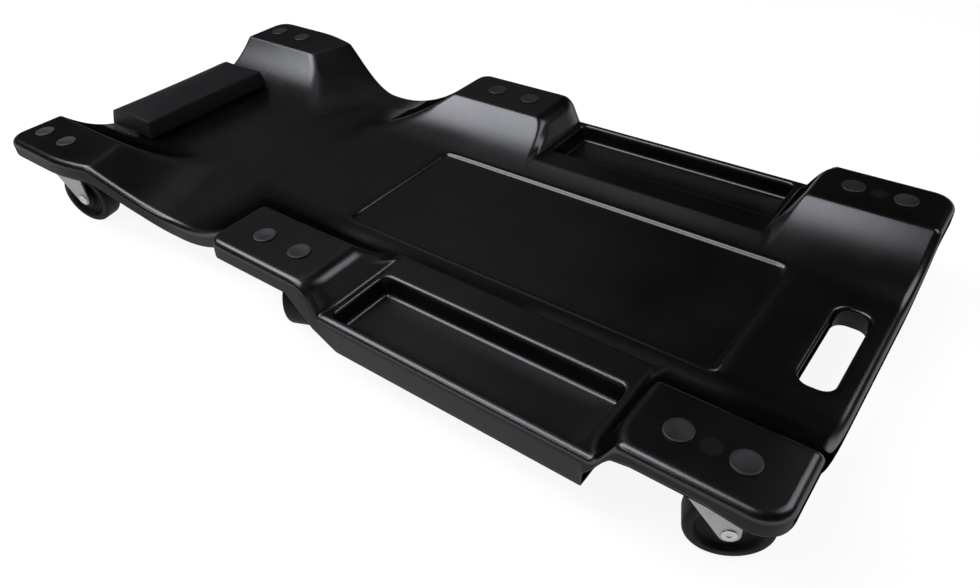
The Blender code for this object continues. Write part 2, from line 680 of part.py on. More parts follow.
def evaluated_mesh(source, name):
    bpy.context.view_layer.update()
    graph = bpy.context.evaluated_depsgraph_get()
    mesh = bpy.data.meshes.new_from_object(source.evaluated_get(graph))
    mesh.name = name
    mesh.materials.clear()
    mesh.shade_smooth()
    mesh.set_sharp_from_angle(angle=SMOOTH_ANGLE)
    return mesh


def kingpin_profile():
    top = PLATE_Z + PLATE_T + CLEAR
    foot = CROWN_UNDER_Z - CLEAR
    return [(0, top + KINGPIN_HEAD_H), (KINGPIN_FLAT_R, top + KINGPIN_HEAD_H), (KINGPIN_HEAD_R, top),
            (KINGPIN_R, top), (KINGPIN_R, foot), (KINGPIN_HEAD_R, foot), (0, foot - KINGPIN_HEAD_H)]


def ring_profile():
    middle = (RING_IN_R + RING_OUT_R) / 2
    return [(middle, RING_H), (RING_OUT_R, RING_H - RING_SHOULDER), (RING_OUT_R, RING_SHOULDER), (middle, 0),
            (RING_IN_R, RING_SHOULDER), (RING_IN_R, RING_H - RING_SHOULDER)]


def axle_profile():
    grip = FORK_OUTER_Y + CLEAR
    head = grip + AXLE_HEAD_H
    return [(0, head), (AXLE_FLAT_R, head), (AXLE_HEAD_R, grip), (AXLE_R, grip), (AXLE_R, -grip),
            (AXLE_HEAD_R, -grip), (AXLE_FLAT_R, -head), (0, -head)]


def wheel_profile():
    half = WHEEL_WIDTH / 2
    face = half - WHEEL_SHOULDER
    facet_r = WHEEL_R / math.cos(math.pi / WHEEL_STEPS)
    bore_r = BUSH_R + CLEAR
    upper = [(bore_r, half), (WHEEL_HUB_R, half), (WHEEL_WEB_OUT_R, WHEEL_WEB_T / 2), (WHEEL_RIM_IN_R, half),
             (facet_r - WHEEL_SHOULDER, half), (facet_r, face)]
    return upper + [(radius, -height) for radius, height in reversed(upper)]


def bush_profile():
    half = FORK_INNER_Y - CLEAR
    bore_r = AXLE_R + RUNNING_CLEAR
    seat_r = BUSH_R * math.cos(math.pi / WHEEL_STEPS)
    return [(seat_r, half), (seat_r, -half), (bore_r, -half), (bore_r, half)]


def build_caster(label, x, y, fork, plate):
    turn = math.radians(TRAIL_ANGLES[label])
    add_object(f"{label}_caster_plate", plate.copy(), ZINC, location=(x, y, PLATE_Z))
    turned(f"{label}_kingpin", kingpin_profile(), SMALL_STEPS, BRIGHT_STEEL, location=(x, y, 0))
    swivel = add_axis(f"{label}_swivel_axis", (x, y, 0), (0, 0, turn))
    turned(f"{label}_ball_ring", ring_profile(), SMALL_STEPS, BRIGHT_STEEL, closed=True, parent=swivel,
           location=(0, 0, RING_Z))
    add_object(f"{label}_fork", fork.copy(), ZINC, parent=swivel)
    spin = add_axis(f"{label}_axle_axis", (TRAIL, 0, AXLE_Z), (-math.pi / 2, 0, 0), swivel)
    turned(f"{label}_axle", axle_profile(), SMALL_STEPS, BRIGHT_STEEL, parent=spin)
    facet_down = math.pi / WHEEL_STEPS
    turned(f"{label}_wheel", wheel_profile(), WHEEL_STEPS, WHEEL_RUBBER, closed=True, parent=spin,
           turn=(0, 0, facet_down))
    turned(f"{label}_wheel_bush", bush_profile(), BORE_STEPS, BUSH_NYLON, closed=True, parent=spin)


def build_casters():
    fork = fork_template()
    plate = plate_template()
    for station, x in STATIONS.items():
        for side, y in SIDES.items():
            build_caster(f"{station}_{side}", x, y, fork, plate)


def build_rivets():
    under_head = PAD_TOP_Z + CLEAR
    under_plate = PLATE_Z - CLEAR
    top = under_head + RIVET_HEAD_H
    profile = [(0, top - RIVET_DISH), (RIVET_LIP_R, top), (RIVET_HEAD_R, under_head + RIVET_HEAD_H / 2),
               (RIVET_HEAD_R, under_head), (RIVET_R, under_head), (RIVET_R, under_plate),
               (RIVET_TAIL_R, under_plate), (0, under_plate - RIVET_TAIL_H)]
    for label, letter, x, y in rivet_places():
        turned(f"{label}_rivet_{letter}", profile, RIVET_STEPS, RIVET_COAT, location=(x, y, 0))


build_deck()
build_headrest()
build_casters()
build_rivets()
bpy.context.view_layer.update()
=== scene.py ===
# %% [markdown]
# # A mechanic's creeper, from plain solids to a finished picture
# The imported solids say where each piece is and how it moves. This lesson leaves that frame as it is and
# dresses it. Each piece that shows is modelled again with the roundings a solid for physics leaves out, then
# it gets a finish. The studio around it is set up first.

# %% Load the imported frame
import json
import math

import bmesh
import bpy
import numpy as np
from mathutils import Matrix, Vector


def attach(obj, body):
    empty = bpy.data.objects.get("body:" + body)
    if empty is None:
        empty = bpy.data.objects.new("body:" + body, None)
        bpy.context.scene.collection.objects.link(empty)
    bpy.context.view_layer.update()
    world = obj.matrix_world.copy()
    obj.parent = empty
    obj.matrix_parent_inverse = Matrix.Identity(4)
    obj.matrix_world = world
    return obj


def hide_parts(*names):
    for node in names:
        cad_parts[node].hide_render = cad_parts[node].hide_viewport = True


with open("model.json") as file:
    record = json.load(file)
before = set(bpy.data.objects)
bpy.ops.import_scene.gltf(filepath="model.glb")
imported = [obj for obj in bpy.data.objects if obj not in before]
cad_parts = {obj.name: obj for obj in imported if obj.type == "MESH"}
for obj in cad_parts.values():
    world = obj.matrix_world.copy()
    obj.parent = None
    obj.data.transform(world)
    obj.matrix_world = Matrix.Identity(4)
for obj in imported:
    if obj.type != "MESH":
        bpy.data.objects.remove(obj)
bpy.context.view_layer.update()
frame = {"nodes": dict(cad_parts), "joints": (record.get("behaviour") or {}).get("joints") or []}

# %% [markdown]
# ## The camera
# The picture looks down on the creeper from beyond its foot end, from the side of the near tray. A camera
# could be aimed by eye with a tracking constraint. Here its three axes and its place were solved from the
# rivet heads, which stand on one plane at known distances, so they are written down as a matrix.

# %% Camera
VIEW_AXES = ((0.79805, 0.60033, -0.05216), (-0.34656, 0.52806, 0.77528), (0.49297, -0.60063, 0.62947))
VIEW_PLACE = (0.5431, -0.5604, 0.5475)
SENSOR_WIDTH = 36.0
LENS = 28.513

scene = bpy.context.scene
scene.view_settings.view_transform = "Standard"
camera_data = bpy.data.cameras.new("studio_camera")
camera_data.sensor_width = SENSOR_WIDTH
camera_data.lens = LENS
camera = bpy.data.objects.new("studio_camera", camera_data)
camera.matrix_world = Matrix.Translation(VIEW_PLACE) @ Matrix(VIEW_AXES).transposed().to_4x4()
scene.collection.objects.link(camera)
scene.camera = camera
print("camera at", VIEW_PLACE, "lens", LENS)

# %% [markdown]
# ## The studio
# Black plastic shows little of its own colour, and nearly all that is seen on it is a reflection of the room.
# So the room matters more than the strength of the lamps: pale low walls, a dark ceiling, and soft boxes
# placed where one surface or another mirrors them. The long one shows in the far flanks of the deck and the
# strip in the near rims. The others draw the fold before the near tray, the head end and a faint sheen on the
# dish. The walls are a world whose brightness fades with height. Rays that only light the scene meet an even
# grey instead, so the lamps keep the shadow on the floor.

# %% Walls and ceiling
AMBIENT_TONE = 0.16
WALL_TONES = ((0.0, 0.55), (0.05, 0.28), (0.12, 0.07), (0.30, 0.020), (1.0, 0.006))


def join(tree, node, output, target, socket):
    tree.links.new(node.outputs[output], target.inputs[socket])


def grey(tone):
    return (tone, tone, tone, 1.0)


def background_rays(tree):
    """A node that is 1 for rays that meet the background itself: from the camera, a mirror or glass."""
    rays = tree.nodes.new("ShaderNodeLightPath")
    seen = tree.nodes.new("ShaderNodeMath")
    seen_through = tree.nodes.new("ShaderNodeMath")
    seen_through.use_clamp = True
    join(tree, rays, "Is Camera Ray", seen, 0)
    join(tree, rays, "Is Glossy Ray", seen, 1)
    join(tree, seen, "Value", seen_through, 0)
    join(tree, rays, "Is Transmission Ray", seen_through, 1)
    return seen_through


world = bpy.data.worlds.new("studio_room")
scene.world = world
world.use_nodes = True
room = world.node_tree
ambient = room.nodes["Background"]
ambient.inputs["Color"].default_value = grey(AMBIENT_TONE)
walls = room.nodes.new("ShaderNodeBackground")
direction = room.nodes.new("ShaderNodeTexCoord")
height = room.nodes.new("ShaderNodeSeparateXYZ")
fade = room.nodes.new("ShaderNodeValToRGB")
join(room, direction, "Generated", height, "Vector")
join(room, height, "Z", fade, "Fac")
join(room, fade, "Color", walls, "Color")
while len(fade.color_ramp.elements) < len(WALL_TONES):
    fade.color_ramp.elements.new(0.5)
for stop, (place, tone) in zip(fade.color_ramp.elements, WALL_TONES):
    stop.position = place
    stop.color = grey(tone)
choice = room.nodes.new("ShaderNodeMixShader")
join(room, background_rays(room), "Value", choice, 0)
join(room, ambient, "Background", choice, 1)
join(room, walls, "Background", choice, 2)
join(room, choice, "Shader", room.nodes["World Output"], "Surface")
print("room with", len(WALL_TONES), "wall tones")

# %% Soft boxes and floor
FLOOR_SIZE = 60.0
FLOOR_TONE = 0.18
FLOOR_GLOW = 0.90
LAMP_COLOUR = (0.90, 0.92, 1.0)
# Each soft box has a name, a place, a target, a size and a power
SOFT_BOXES = (
    ("long_soft_box", (-0.84, -0.50, 1.56), (-0.71, 0.12, 0.10), (2.2, 0.8), 25.0),
    ("foot_soft_box", (0.97, 0.53, 1.05), (0.05, -0.18, 0.10), (0.8, 0.70), 4.2),
    ("head_soft_box", (-1.05, 0.67, 1.52), (-0.34, -0.19, 0.11), (0.7, 0.5), 0.15),
    ("top_soft_box", (-1.35, 0.85, 3.70), (0.20, 0.11, 0.08), (1.5, 1.0), 1.9),
    ("rim_strip", (-1.25, -1.10, 1.56), (-0.20, -0.20, 0.08), (2.9, 0.4), 12.0),
    ("sheen_panel", (-1.40, 1.15, 1.30), (0.0, 0.0, 0.10), (1.8, 1.4), 0.78),
)


def add_soft_box(name, place, target, size, power):
    """A rectangular lamp that faces its target, with its long side level."""
    data = bpy.data.lights.new(name, "AREA")
    data.shape = "RECTANGLE"
    data.size, data.size_y = size
    data.energy = power
    data.color = LAMP_COLOUR
    lamp = bpy.data.objects.new(name, data)
    away = (Vector(place) - Vector(target)).normalized()
    level = Vector((0, 0, 1)).cross(away).normalized()
    axes = Matrix((level, away.cross(level), away)).transposed().to_4x4()
    lamp.matrix_world = Matrix.Translation(place) @ axes
    scene.collection.objects.link(lamp)


for soft_box in SOFT_BOXES:
    add_soft_box(*soft_box)
floor_bm = bmesh.new()
bmesh.ops.create_grid(floor_bm, x_segments=4, y_segments=4, size=FLOOR_SIZE)
floor_mesh = bpy.data.meshes.new("studio_floor")
floor_bm.to_mesh(floor_mesh)
floor_bm.free()
floor = bpy.data.objects.new("studio_floor", floor_mesh)
scene.collection.objects.link(floor)
floor_paint = bpy.data.materials.new("studio_floor_paint")
floor_paint.use_nodes = True
floor_shader = floor_paint.node_tree.nodes["Principled BSDF"]
floor_shader.inputs["Base Color"].default_value = grey(FLOOR_TONE)
floor_shader.inputs["Roughness"].default_value = 1.0
floor_shader.inputs["Specular IOR Level"].default_value = 0.0
floor_shader.inputs["Emission Color"].default_value = grey(FLOOR_GLOW)
floor_tree = floor_paint.node_tree
join(floor_tree, background_rays(floor_tree), "Value", floor_shader, "Emission Strength")
floor_mesh.materials.append(floor_paint)

# %% [markdown]
# ## Finishes
# Every finish here starts the same way: a Principled shader whose colour and roughness drift a little over
# the piece, because no moulding, plating or rubber is one even tone. A picture could be wrapped round the
# pieces, but a pattern worked out from the piece's own coordinates needs no unwrapping and stays put when the
# piece moves.

# %% Helpers for finishes
DRIFT_DETAIL = 5.0
DRIFT_ENDS = (0.35, 0.65)


def pattern(tree, kind, scale, stretch=(1.0, 1.0, 1.0)):
    """A texture on the piece's Object coordinates: its features per metre and its stretch along each axis."""
    place = tree.nodes.new("ShaderNodeTexCoord")
    mapping = tree.nodes.new("ShaderNodeMapping")
    mapping.inputs["Scale"].default_value = stretch
    texture = tree.nodes.new(kind)
    texture.inputs["Scale"].default_value = scale
    join(tree, place, "Object", mapping, "Vector")
    join(tree, mapping, "Vector", texture, "Vector")
    return texture


def between(tree, node, output, low, high, from_low=0.3, from_high=0.7):
    """The value of a pattern, stretched to run from low to high."""
    spread = tree.nodes.new("ShaderNodeMapRange")
    ends = {"From Min": from_low, "From Max": from_high, "To Min": low, "To Max": high}
    for socket, value in ends.items():
        spread.inputs[socket].default_value = value
    join(tree, node, output, spread, "Value")
    return spread


def new_finish(name, dark, light, rough, drift_scale, metallic=0.0, specular=0.5):
    """A shader whose colour drifts from dark to light, and whose roughness drifts over the pair in rough."""
    finish = bpy.data.materials.new(name)
    finish.use_nodes = True
    tree = finish.node_tree
    shader = tree.nodes["Principled BSDF"]
    shader.inputs["Metallic"].default_value = metallic
    shader.inputs["Specular IOR Level"].default_value = specular
    drift = pattern(tree, "ShaderNodeTexNoise", drift_scale)
    drift.inputs["Detail"].default_value = DRIFT_DETAIL
    tones = tree.nodes.new("ShaderNodeValToRGB")
    for stop, place, colour in zip(tones.color_ramp.elements, DRIFT_ENDS, (dark, light)):
        stop.position = place
        stop.color = (*colour, 1.0)
    join(tree, drift, "Fac", tones, "Fac")
    join(tree, tones, "Color", shader, "Base Color")
    join(tree, between(tree, drift, "Fac", *rough), "Result", shader, "Roughness")
    return finish


def add_relief(finish, texture, output, depth, strength):
    """Let a pattern raise the surface by depth metres; a second relief adds to the first."""
    tree = finish.node_tree
    shader = tree.nodes["Principled BSDF"]
    bump = tree.nodes.new("ShaderNodeBump")
    bump.inputs["Strength"].default_value = strength
    bump.inputs["Distance"].default_value = depth
    join(tree, texture, output, bump, "Height")
    if shader.inputs["Normal"].is_linked:
        tree.links.new(shader.inputs["Normal"].links[0].from_socket, bump.inputs["Normal"])
    join(tree, bump, "Normal", shader, "Normal")


print("finish helpers ready")

# %% [markdown]
# ### Deck plastic
# The deck is black polyethylene with a fine pebble grain and long faint scuffs. A plain shader mirrors the
# room more and more as a surface leans away from the eye, and the pale floor would then wash over the sides.
# The deck in the picture stays dark there, so its shine is lowered on what leans away and on upright sides.

# %% Deck shader
FRONT_SHINE = 0.92
LEANING_SHINE = 0.29
LEANING = (0.25, 0.60)
GLANCING = (0.60, 0.80)
SIDE_SHINE = 0.18
FACING_UP = (0.10, 0.50)


def product(tree, first, second):
    """One pair of node and output times another, as such a pair."""
    node = tree.nodes.new("ShaderNodeMath")
    node.operation = "MULTIPLY"
    join(tree, *first, node, 0)
    join(tree, *second, node, 1)
    return node, "Value"


deck_plastic = new_finish("deck_plastic", (0.0014, 0.0011, 0.0008), (0.0034, 0.0028, 0.0022), (0.22, 0.30),
                          9.0)
pebbles = pattern(deck_plastic.node_tree, "ShaderNodeTexVoronoi", 900.0)
add_relief(deck_plastic, pebbles, "Distance", 0.0003, 0.14)
scuffs = pattern(deck_plastic.node_tree, "ShaderNodeTexNoise", 60.0, (0.25, 1.0, 1.0))
scuffs.inputs["Detail"].default_value = 8.0
add_relief(deck_plastic, scuffs, "Fac", 0.0006, 0.12)
plastic = deck_plastic.node_tree
plastic_shader = plastic.nodes["Principled BSDF"]
slant = plastic.nodes.new("ShaderNodeLayerWeight")
on_piece = plastic.nodes.new("ShaderNodeTexCoord")
upward = plastic.nodes.new("ShaderNodeSeparateXYZ")
join(plastic, on_piece, "Normal", upward, "Vector")
leaning = between(plastic, slant, "Facing", FRONT_SHINE, LEANING_SHINE, *LEANING), "Result"
glancing = between(plastic, slant, "Facing", 1.0, 0.0, *GLANCING), "Result"
upright = between(plastic, upward, "Z", SIDE_SHINE, 1.0, *FACING_UP), "Result"
shine = product(plastic, product(plastic, leaning, glancing), upright)
join(plastic, *shine, plastic_shader, "Specular IOR Level")
print("deck plastic made")

# %% [markdown]
# ## The deck's form
# The deck is one moulding. Its middle is a shallow dish, six pads stand up for the casters, an arm hollow is
# scooped out of each side, and each side has a tool tray sunk into a flat ledge. It could be cut from blocks
# with booleans, but the real surfaces run into each other in soft creases. So the top is described as a
# height over the plan: the lowest of dish, arm hollow and ledge, with a soft minimum that rounds the crease
# where two of them meet.

# %% Sizes of the deck
TINY = 1e-6
LENGTH = 1.008
WIDTH = 0.468
CORNER_R = 0.024
DECK_T = 0.0225
TOP_EDGE_R = 0.008
TRAY_EDGE_R = 0.0065
UNDER_EDGE_R = 0.004
FOOT_UNDER_R = 0.010
PAD_TOP_Z = 0.114
PAD_UNDER_Z = PAD_TOP_Z - DECK_T
FLOOR_Z = 0.073
RIM_Z = 0.083
KINGPIN_Y = 0.1966
DISH_FLAT_Y = 0.075
DISH_RIM_Y = 0.160
DISH_WIDTH = DISH_RIM_Y - DISH_FLAT_Y
DISH_DEPTH = PAD_TOP_Z - FLOOR_Z
ARM_HEAD_X = -0.344
ARM_MID_X = -0.0875
ARM_HEAD_FLANK = 0.118
ARM_HEAD_BOW = 0.65
ARM_HEAD_SKEW = 0.37
ARM_MID_FLANK = 0.132
ARM_HEAD_DRAW = 0.190
ARM_HEAD_LAP = 0.066
ARM_MID_DRAW = 0.035
ARM_MID_LAP = 0.010
ARM_INSET = 0.0365
ARM_DEPTH = 0.0495
ARM_LOW_Z = PAD_TOP_Z - ARM_DEPTH
EDGE_Y = WIDTH / 2 - TOP_EDGE_R
FIXED_Y = DISH_RIM_Y + TOP_EDGE_R / 2
CREST_SOFT = 0.0050
PAD_SOFT = 0.0020
LEDGE_SOFT = 0.0007
WALL_SOFT = 0.020
print("deck", LENGTH, "by", WIDTH, "m, pads at", PAD_TOP_Z)

# %% Heights of the open skin
LEDGE_HEAD_X = 0.0415
LEDGE_FOOT_X = 0.378
LEDGE_FOOT_FLANK = 0.027
LEDGE_SHOULDER_R = 0.018
LEDGE_FILLET_R = 0.003
LEDGE_SLOPE = math.radians(65)
PAD_CORNER_Y = 0.205
PAD_CORNER_HEAD = 0.014
PAD_CORNER_FOOT = 0.020
WALL_POINTS = 9


def share(t):
    return np.clip(t, 0.0, 1.0)


def ease(t):
    return share(t) ** 2 * (3 - 2 * share(t))


def soft_min(first, second, soft):
    """The lower of two heights, with the crease between them rounded over soft metres of height."""
    near = np.maximum(soft - np.abs(first - second), 0.0) / soft
    return np.minimum(first, second) - near ** 2 * soft / 4


def wall_profile(depth, lip_r, foot_r, slope):
    """Distances and drops down a steep wall: a round lip, a straight and a round foot."""
    turn = np.linspace(0.0, slope, WALL_POINTS)
    straight = (depth - (lip_r + foot_r) * (1 - math.cos(slope))) / math.tan(slope)
    foot_end = (lip_r + foot_r) * math.sin(slope) + straight
    distances = np.concatenate([lip_r * np.sin(turn), foot_end - foot_r * np.sin(turn[::-1])])
    drops = np.concatenate([lip_r * (1 - np.cos(turn)), depth - foot_r * (1 - np.cos(turn[::-1]))])
    return distances, drops


def arm_draw(x):
    """How much of ARM_INSET the outline has drawn in by."""
    from_head = (x - ARM_HEAD_X + ARM_HEAD_LAP) / ARM_HEAD_DRAW
    from_mid = (ARM_MID_X + ARM_MID_LAP - x) / ARM_MID_DRAW
    return np.minimum(ease(from_head), ease(from_mid))


def arm_z(x, y):
    """Height of the arm hollow, which climbs on past the pads at its two ends."""
    head_x = ARM_HEAD_X + ARM_HEAD_SKEW * (np.abs(y) - KINGPIN_Y)
    from_head = (x - head_x) / ARM_HEAD_FLANK
    curved = (1 - share(from_head)) ** 2 * (1 + ARM_HEAD_BOW * share(from_head))
    to_head = curved + (2 - ARM_HEAD_BOW) * np.maximum(-from_head, 0.0)
    to_mid = np.maximum((x - ARM_MID_X + ARM_MID_FLANK) / ARM_MID_FLANK, 0.0) ** 2
    bottom = FLOOR_Z + (ARM_LOW_Z - FLOOR_Z) * share(np.abs(y) / DISH_RIM_Y)
    return bottom + (PAD_TOP_Z - bottom) * np.maximum(to_head, to_mid)


LEDGE_WALL = wall_profile(PAD_TOP_Z - RIM_Z, LEDGE_SHOULDER_R, LEDGE_FILLET_R, LEDGE_SLOPE)


def ledge_share(x, y):
    """0 on the pads, 1 on the flat ledge round a tray. The pads' outer corners are round in plan."""
    outward = share((np.abs(y) - PAD_CORNER_Y) / (WIDTH / 2 - PAD_CORNER_Y))
    rounding = 1 - np.sqrt(1 - outward ** 2)
    from_mid = np.interp(x - LEDGE_HEAD_X + PAD_CORNER_HEAD * rounding, *LEDGE_WALL) / (PAD_TOP_Z - RIM_Z)
    from_foot = ease((LEDGE_FOOT_X + PAD_CORNER_FOOT * rounding - x) / LEDGE_FOOT_FLANK)
    return np.minimum(from_mid, from_foot)


def skin_z(x, y):
    """Height of the top skin without its trays and panel."""
    dish = FLOOR_Z + DISH_DEPTH * np.maximum((np.abs(y) - DISH_FLAT_Y) / DISH_WIDTH, 0.0) ** 2
    scooped = soft_min(dish, arm_z(x, y), CREST_SOFT)
    down = ledge_share(x, y)
    ledge = PAD_TOP_Z - (PAD_TOP_Z - RIM_Z) * down
    soft = PAD_SOFT + (LEDGE_SOFT - PAD_SOFT) * down + 4 * WALL_SOFT * down * (1 - down)
    return soft_min(scooped, ledge, soft)


print("middle of the dish at", float(skin_z(np.array(0.2), np.array(0.0))))

# %% [markdown]
# ## Trays, panel and hand slot
# Each tray is a hollow with steep walls, a rounded lip and a rounded foot. Its floor rises a little towards
# the walls. The lying panel is a shallow step with rounded corners and a bead along it. Both could be cut
# into the deck, but as drops from its height they share its grid. A wall is two arcs and a straight between
# them, as a mould maker would draw it.

# %% Trays and panel
TRAY_DEPTH = 0.021
TRAY_LIP_R = 0.0035
TRAY_SLOPE = math.radians(76)
TRAY_FOOT_R = 0.004
TRAY_FLOOR_X = (0.0815, 0.3385)
TRAY_FLOOR_Y = (0.1605, 0.2170)
TRAY_RUN_X = 0.0115
TRAY_RUN_IN = 0.0150
TRAY_RUN_OUT = 0.0095
COVE_RISE = 0.0014
COVE_RUN = 0.016
PANEL_MIDDLE = (0.175, 0.0)
PANEL_HALF = (0.217, 0.086)
PANEL_CORNER_R = 0.009
PANEL_DROP = 0.0018
PANEL_STEP = 0.0042
PANEL_BEAD = 0.0011
TRAY_WALL = wall_profile(TRAY_DEPTH - COVE_RISE, TRAY_LIP_R, TRAY_FOOT_R, TRAY_SLOPE)


def panel_distance(x, y):
    """Distance to the edge of the panel's rounded rectangle: below 0 inside it."""
    over_x = np.abs(x - PANEL_MIDDLE[0]) - PANEL_HALF[0] + PANEL_CORNER_R
    over_y = np.abs(y - PANEL_MIDDLE[1]) - PANEL_HALF[1] + PANEL_CORNER_R
    outside = np.hypot(np.maximum(over_x, 0.0), np.maximum(over_y, 0.0))
    return outside + np.minimum(np.maximum(over_x, over_y), 0.0) - PANEL_CORNER_R


def tray_drop(x, y):
    """How far a tray lies below its rim, with round corners and a floor that rises at its edge."""
    along = np.minimum(x - TRAY_FLOOR_X[0], TRAY_FLOOR_X[1] - x)
    inner = np.abs(y) - TRAY_FLOOR_Y[0]
    outer = TRAY_FLOOR_Y[1] - np.abs(y)
    across = np.maximum(-inner / TRAY_RUN_IN, -outer / TRAY_RUN_OUT)
    up_wall = np.hypot(np.maximum(-along / TRAY_RUN_X, 0.0), np.maximum(across, 0.0))
    wall = np.interp((1 - up_wall) * TRAY_WALL[0][-1], *TRAY_WALL)
    into_floor = share(np.minimum(along, np.minimum(inner, outer)) / COVE_RUN)
    return wall + COVE_RISE * (1 - (1 - into_floor) ** 2)


def top_z(x, y):
    outward = panel_distance(x, y) / PANEL_STEP
    bead = PANEL_BEAD * (1 - share(np.abs(outward - 0.5)) ** 2) ** 2
    return skin_z(x, y) - tray_drop(x, y) - PANEL_DROP * ease(0.5 - outward) + bead


print("tray floor at", float(top_z(np.array(0.2), np.array(KINGPIN_Y))))

# %% [markdown]
# ## Stations of the deck
# A height needs points to stand on. An even grid fine enough for the lips would have very many, so the grid
# is close only where the form turns quickly. Its columns are numbered along the creeper and its rows across
# it. At the corners the columns follow the round of the outline, and at the arm hollows the rows draw in with
# it.

# %% Columns and rows
SLOT_X = 0.46675
SLOT_HALF = (0.01575, 0.057)
SLOT_CORNER_R = 0.012
SLOT_LIP_R = 0.0035
SLOT_UNDER_R = 0.0025
CORNER_X = LENGTH / 2 - CORNER_R
CORNER_STEP = 0.2


def stations(start, *stretches):
    """Places from start on: each stretch is the place where it ends and its widest step."""
    places = [start]
    for end, step in stretches:
        count = math.ceil((end - places[-1]) / step - TINY)
        places += list(np.linspace(places[-1], end, count + 1)[1:])
    return places


slot_edge_angle = math.asin((SLOT_X + SLOT_HALF[0] + SLOT_LIP_R - CORNER_X) / (CORNER_R - TOP_EDGE_R))
corner_turns = stations(0.0, (slot_edge_angle, CORNER_STEP), (math.pi / 2, CORNER_STEP))
column_x = stations(-CORNER_X, (-0.392, 0.0115), (-0.362, 0.006), (-0.332, 0.0021), (-0.228, 0.0050),
                    (-0.108, 0.0060), (-0.078, 0.0021), (-0.046, 0.008), (-0.038, 0.0010), (0.0395, 0.0095),
                    (0.0695, 0.0011), (0.0745, 0.0009), (0.083, 0.0014), (0.337, 0.0095),
                    (0.3455, 0.0014), (0.3505, 0.0009), (0.380, 0.0021), (0.388, 0.0040), (0.396, 0.0010),
                    (SLOT_X - SLOT_HALF[0] - SLOT_LIP_R, 0.009), (CORNER_X, 0.0034))
half_rows = stations(0.0, (0.040, 0.0085), (SLOT_HALF[1] + SLOT_LIP_R, 0.0042), (0.083, 0.0075),
                     (0.0925, 0.0008), (0.112, 0.0038), (0.122, 0.0015), (0.1445, 0.0048),
                     (0.1500, 0.0010), (0.1635, 0.0013), (0.1765, 0.0033), (0.1985, 0.0060),
                     (0.2125, 0.0035), (0.2178, 0.0014), (0.2242, 0.0009), (EDGE_Y, 0.0010))
turns = np.array(corner_turns)
plain = len(column_x)
COLUMN_END = np.concatenate([-np.ones(len(turns) - 1), np.zeros(plain), np.ones(len(turns) - 1)])
COLUMN_TURN = np.concatenate([turns[:0:-1], np.zeros(plain), turns[1:]])
COLUMN_X = np.concatenate([np.zeros(len(turns) - 1), column_x, np.zeros(len(turns) - 1)])
ROWS = np.concatenate([-np.array(half_rows[:0:-1]), half_rows])
print("columns", len(COLUMN_X), "rows", len(ROWS))

# %% [markdown]
# ## The underside
# Below, the deck follows its top skin one wall lower, and each tray is closed by a box that ramps down behind
# the middle caster and up before the foot caster. The underside uses the same columns and rows, so that its
# edge can be joined to the top's edge point by point; only their places shift.

# %% Places on the top, the rim and the underside
BOX_WALL = 0.0245
BOX_UNDER_Z = RIM_Z - TRAY_DEPTH - BOX_WALL
BOX_TOP_X = (ARM_MID_X, 0.0485, 0.0795, 0.349, LEDGE_FOOT_X, CORNER_X)
BOX_UNDER_X = (ARM_MID_X, 0.0225, 0.074, 0.3495, LEDGE_FOOT_X, CORNER_X)
RAMP_X = (ARM_MID_X, 0.0225, 0.074, 0.3495, 0.3530, 0.3570, 0.3615, 0.3680, LEDGE_FOOT_X, CORNER_X)
RAMP_SHARE = (0.0, 0.0, 1.0, 1.0, 0.62, 0.34, 0.15, 0.04, 0.0, 0.0)
BOX_INNER_Y = 0.1395
BOX_SHOULDER_Y = 0.1325
ROW_KEYS_TOP = (0.0, 0.117, 0.146, 0.153, FIXED_Y, EDGE_Y)
ROW_KEYS_UNDER = (0.0, 0.117, BOX_SHOULDER_Y, BOX_INNER_Y, FIXED_Y, EDGE_Y)
SKIRT_DRAFT = 0.2
FOOT_PAD_X = (0.372, 0.392, 0.450, 0.478)
FOOT_PAD_SHARE = (0.0, 1.0, 1.0, 0.0)


def column_edge(i, inset, under=False):
    """The x of each column and its half width, with the outline drawn in by inset."""
    reach = CORNER_R - inset
    along = np.interp(COLUMN_X[i], BOX_TOP_X, BOX_UNDER_X) if under else COLUMN_X[i]
    along = np.where((COLUMN_X[i] < ARM_MID_X) | (COLUMN_X[i] > CORNER_X), COLUMN_X[i], along)
    corner_x = COLUMN_END[i] * (CORNER_X + reach * np.sin(COLUMN_TURN[i]))
    corner_half = WIDTH / 2 - CORNER_R + reach * np.cos(COLUMN_TURN[i])
    side_half = WIDTH / 2 - ARM_INSET * arm_draw(COLUMN_X[i]) - inset
    at_end = COLUMN_END[i] != 0
    return np.where(at_end, corner_x, along), np.where(at_end, corner_half, side_half)


def row_y(rows, half_width):
    beyond = FIXED_Y + (np.abs(rows) - FIXED_Y) / (EDGE_Y - FIXED_Y) * (half_width - FIXED_Y)
    return np.where(np.abs(rows) <= FIXED_Y, rows, np.copysign(beyond, rows))


def under_rows(j):
    return np.copysign(np.interp(np.abs(ROWS[j]), ROW_KEYS_TOP, ROW_KEYS_UNDER), ROWS[j])


def under_z(x, y):
    skin = skin_z(x, np.clip(y, -PAD_CORNER_Y, PAD_CORNER_Y)) - DECK_T
    ramp = PAD_UNDER_Z + (BOX_UNDER_Z - PAD_UNDER_Z) * np.interp(x, RAMP_X, RAMP_SHARE)
    box = np.minimum(skin, ramp)
    return skin + (box - skin) * ease((np.abs(y) - BOX_SHOULDER_Y) / (BOX_INNER_Y - BOX_SHOULDER_Y))


def skirt_depth(i, j):
    """How much deeper than one wall the side of the deck is, beside a tray's box."""
    x, half_width = column_edge(i, 0.0)
    y = row_y(ROWS[j], half_width)
    station, _ = column_edge(i, 0.0, under=True)
    return np.maximum(skin_z(x, y) - under_z(station, y) - DECK_T, 0.0)


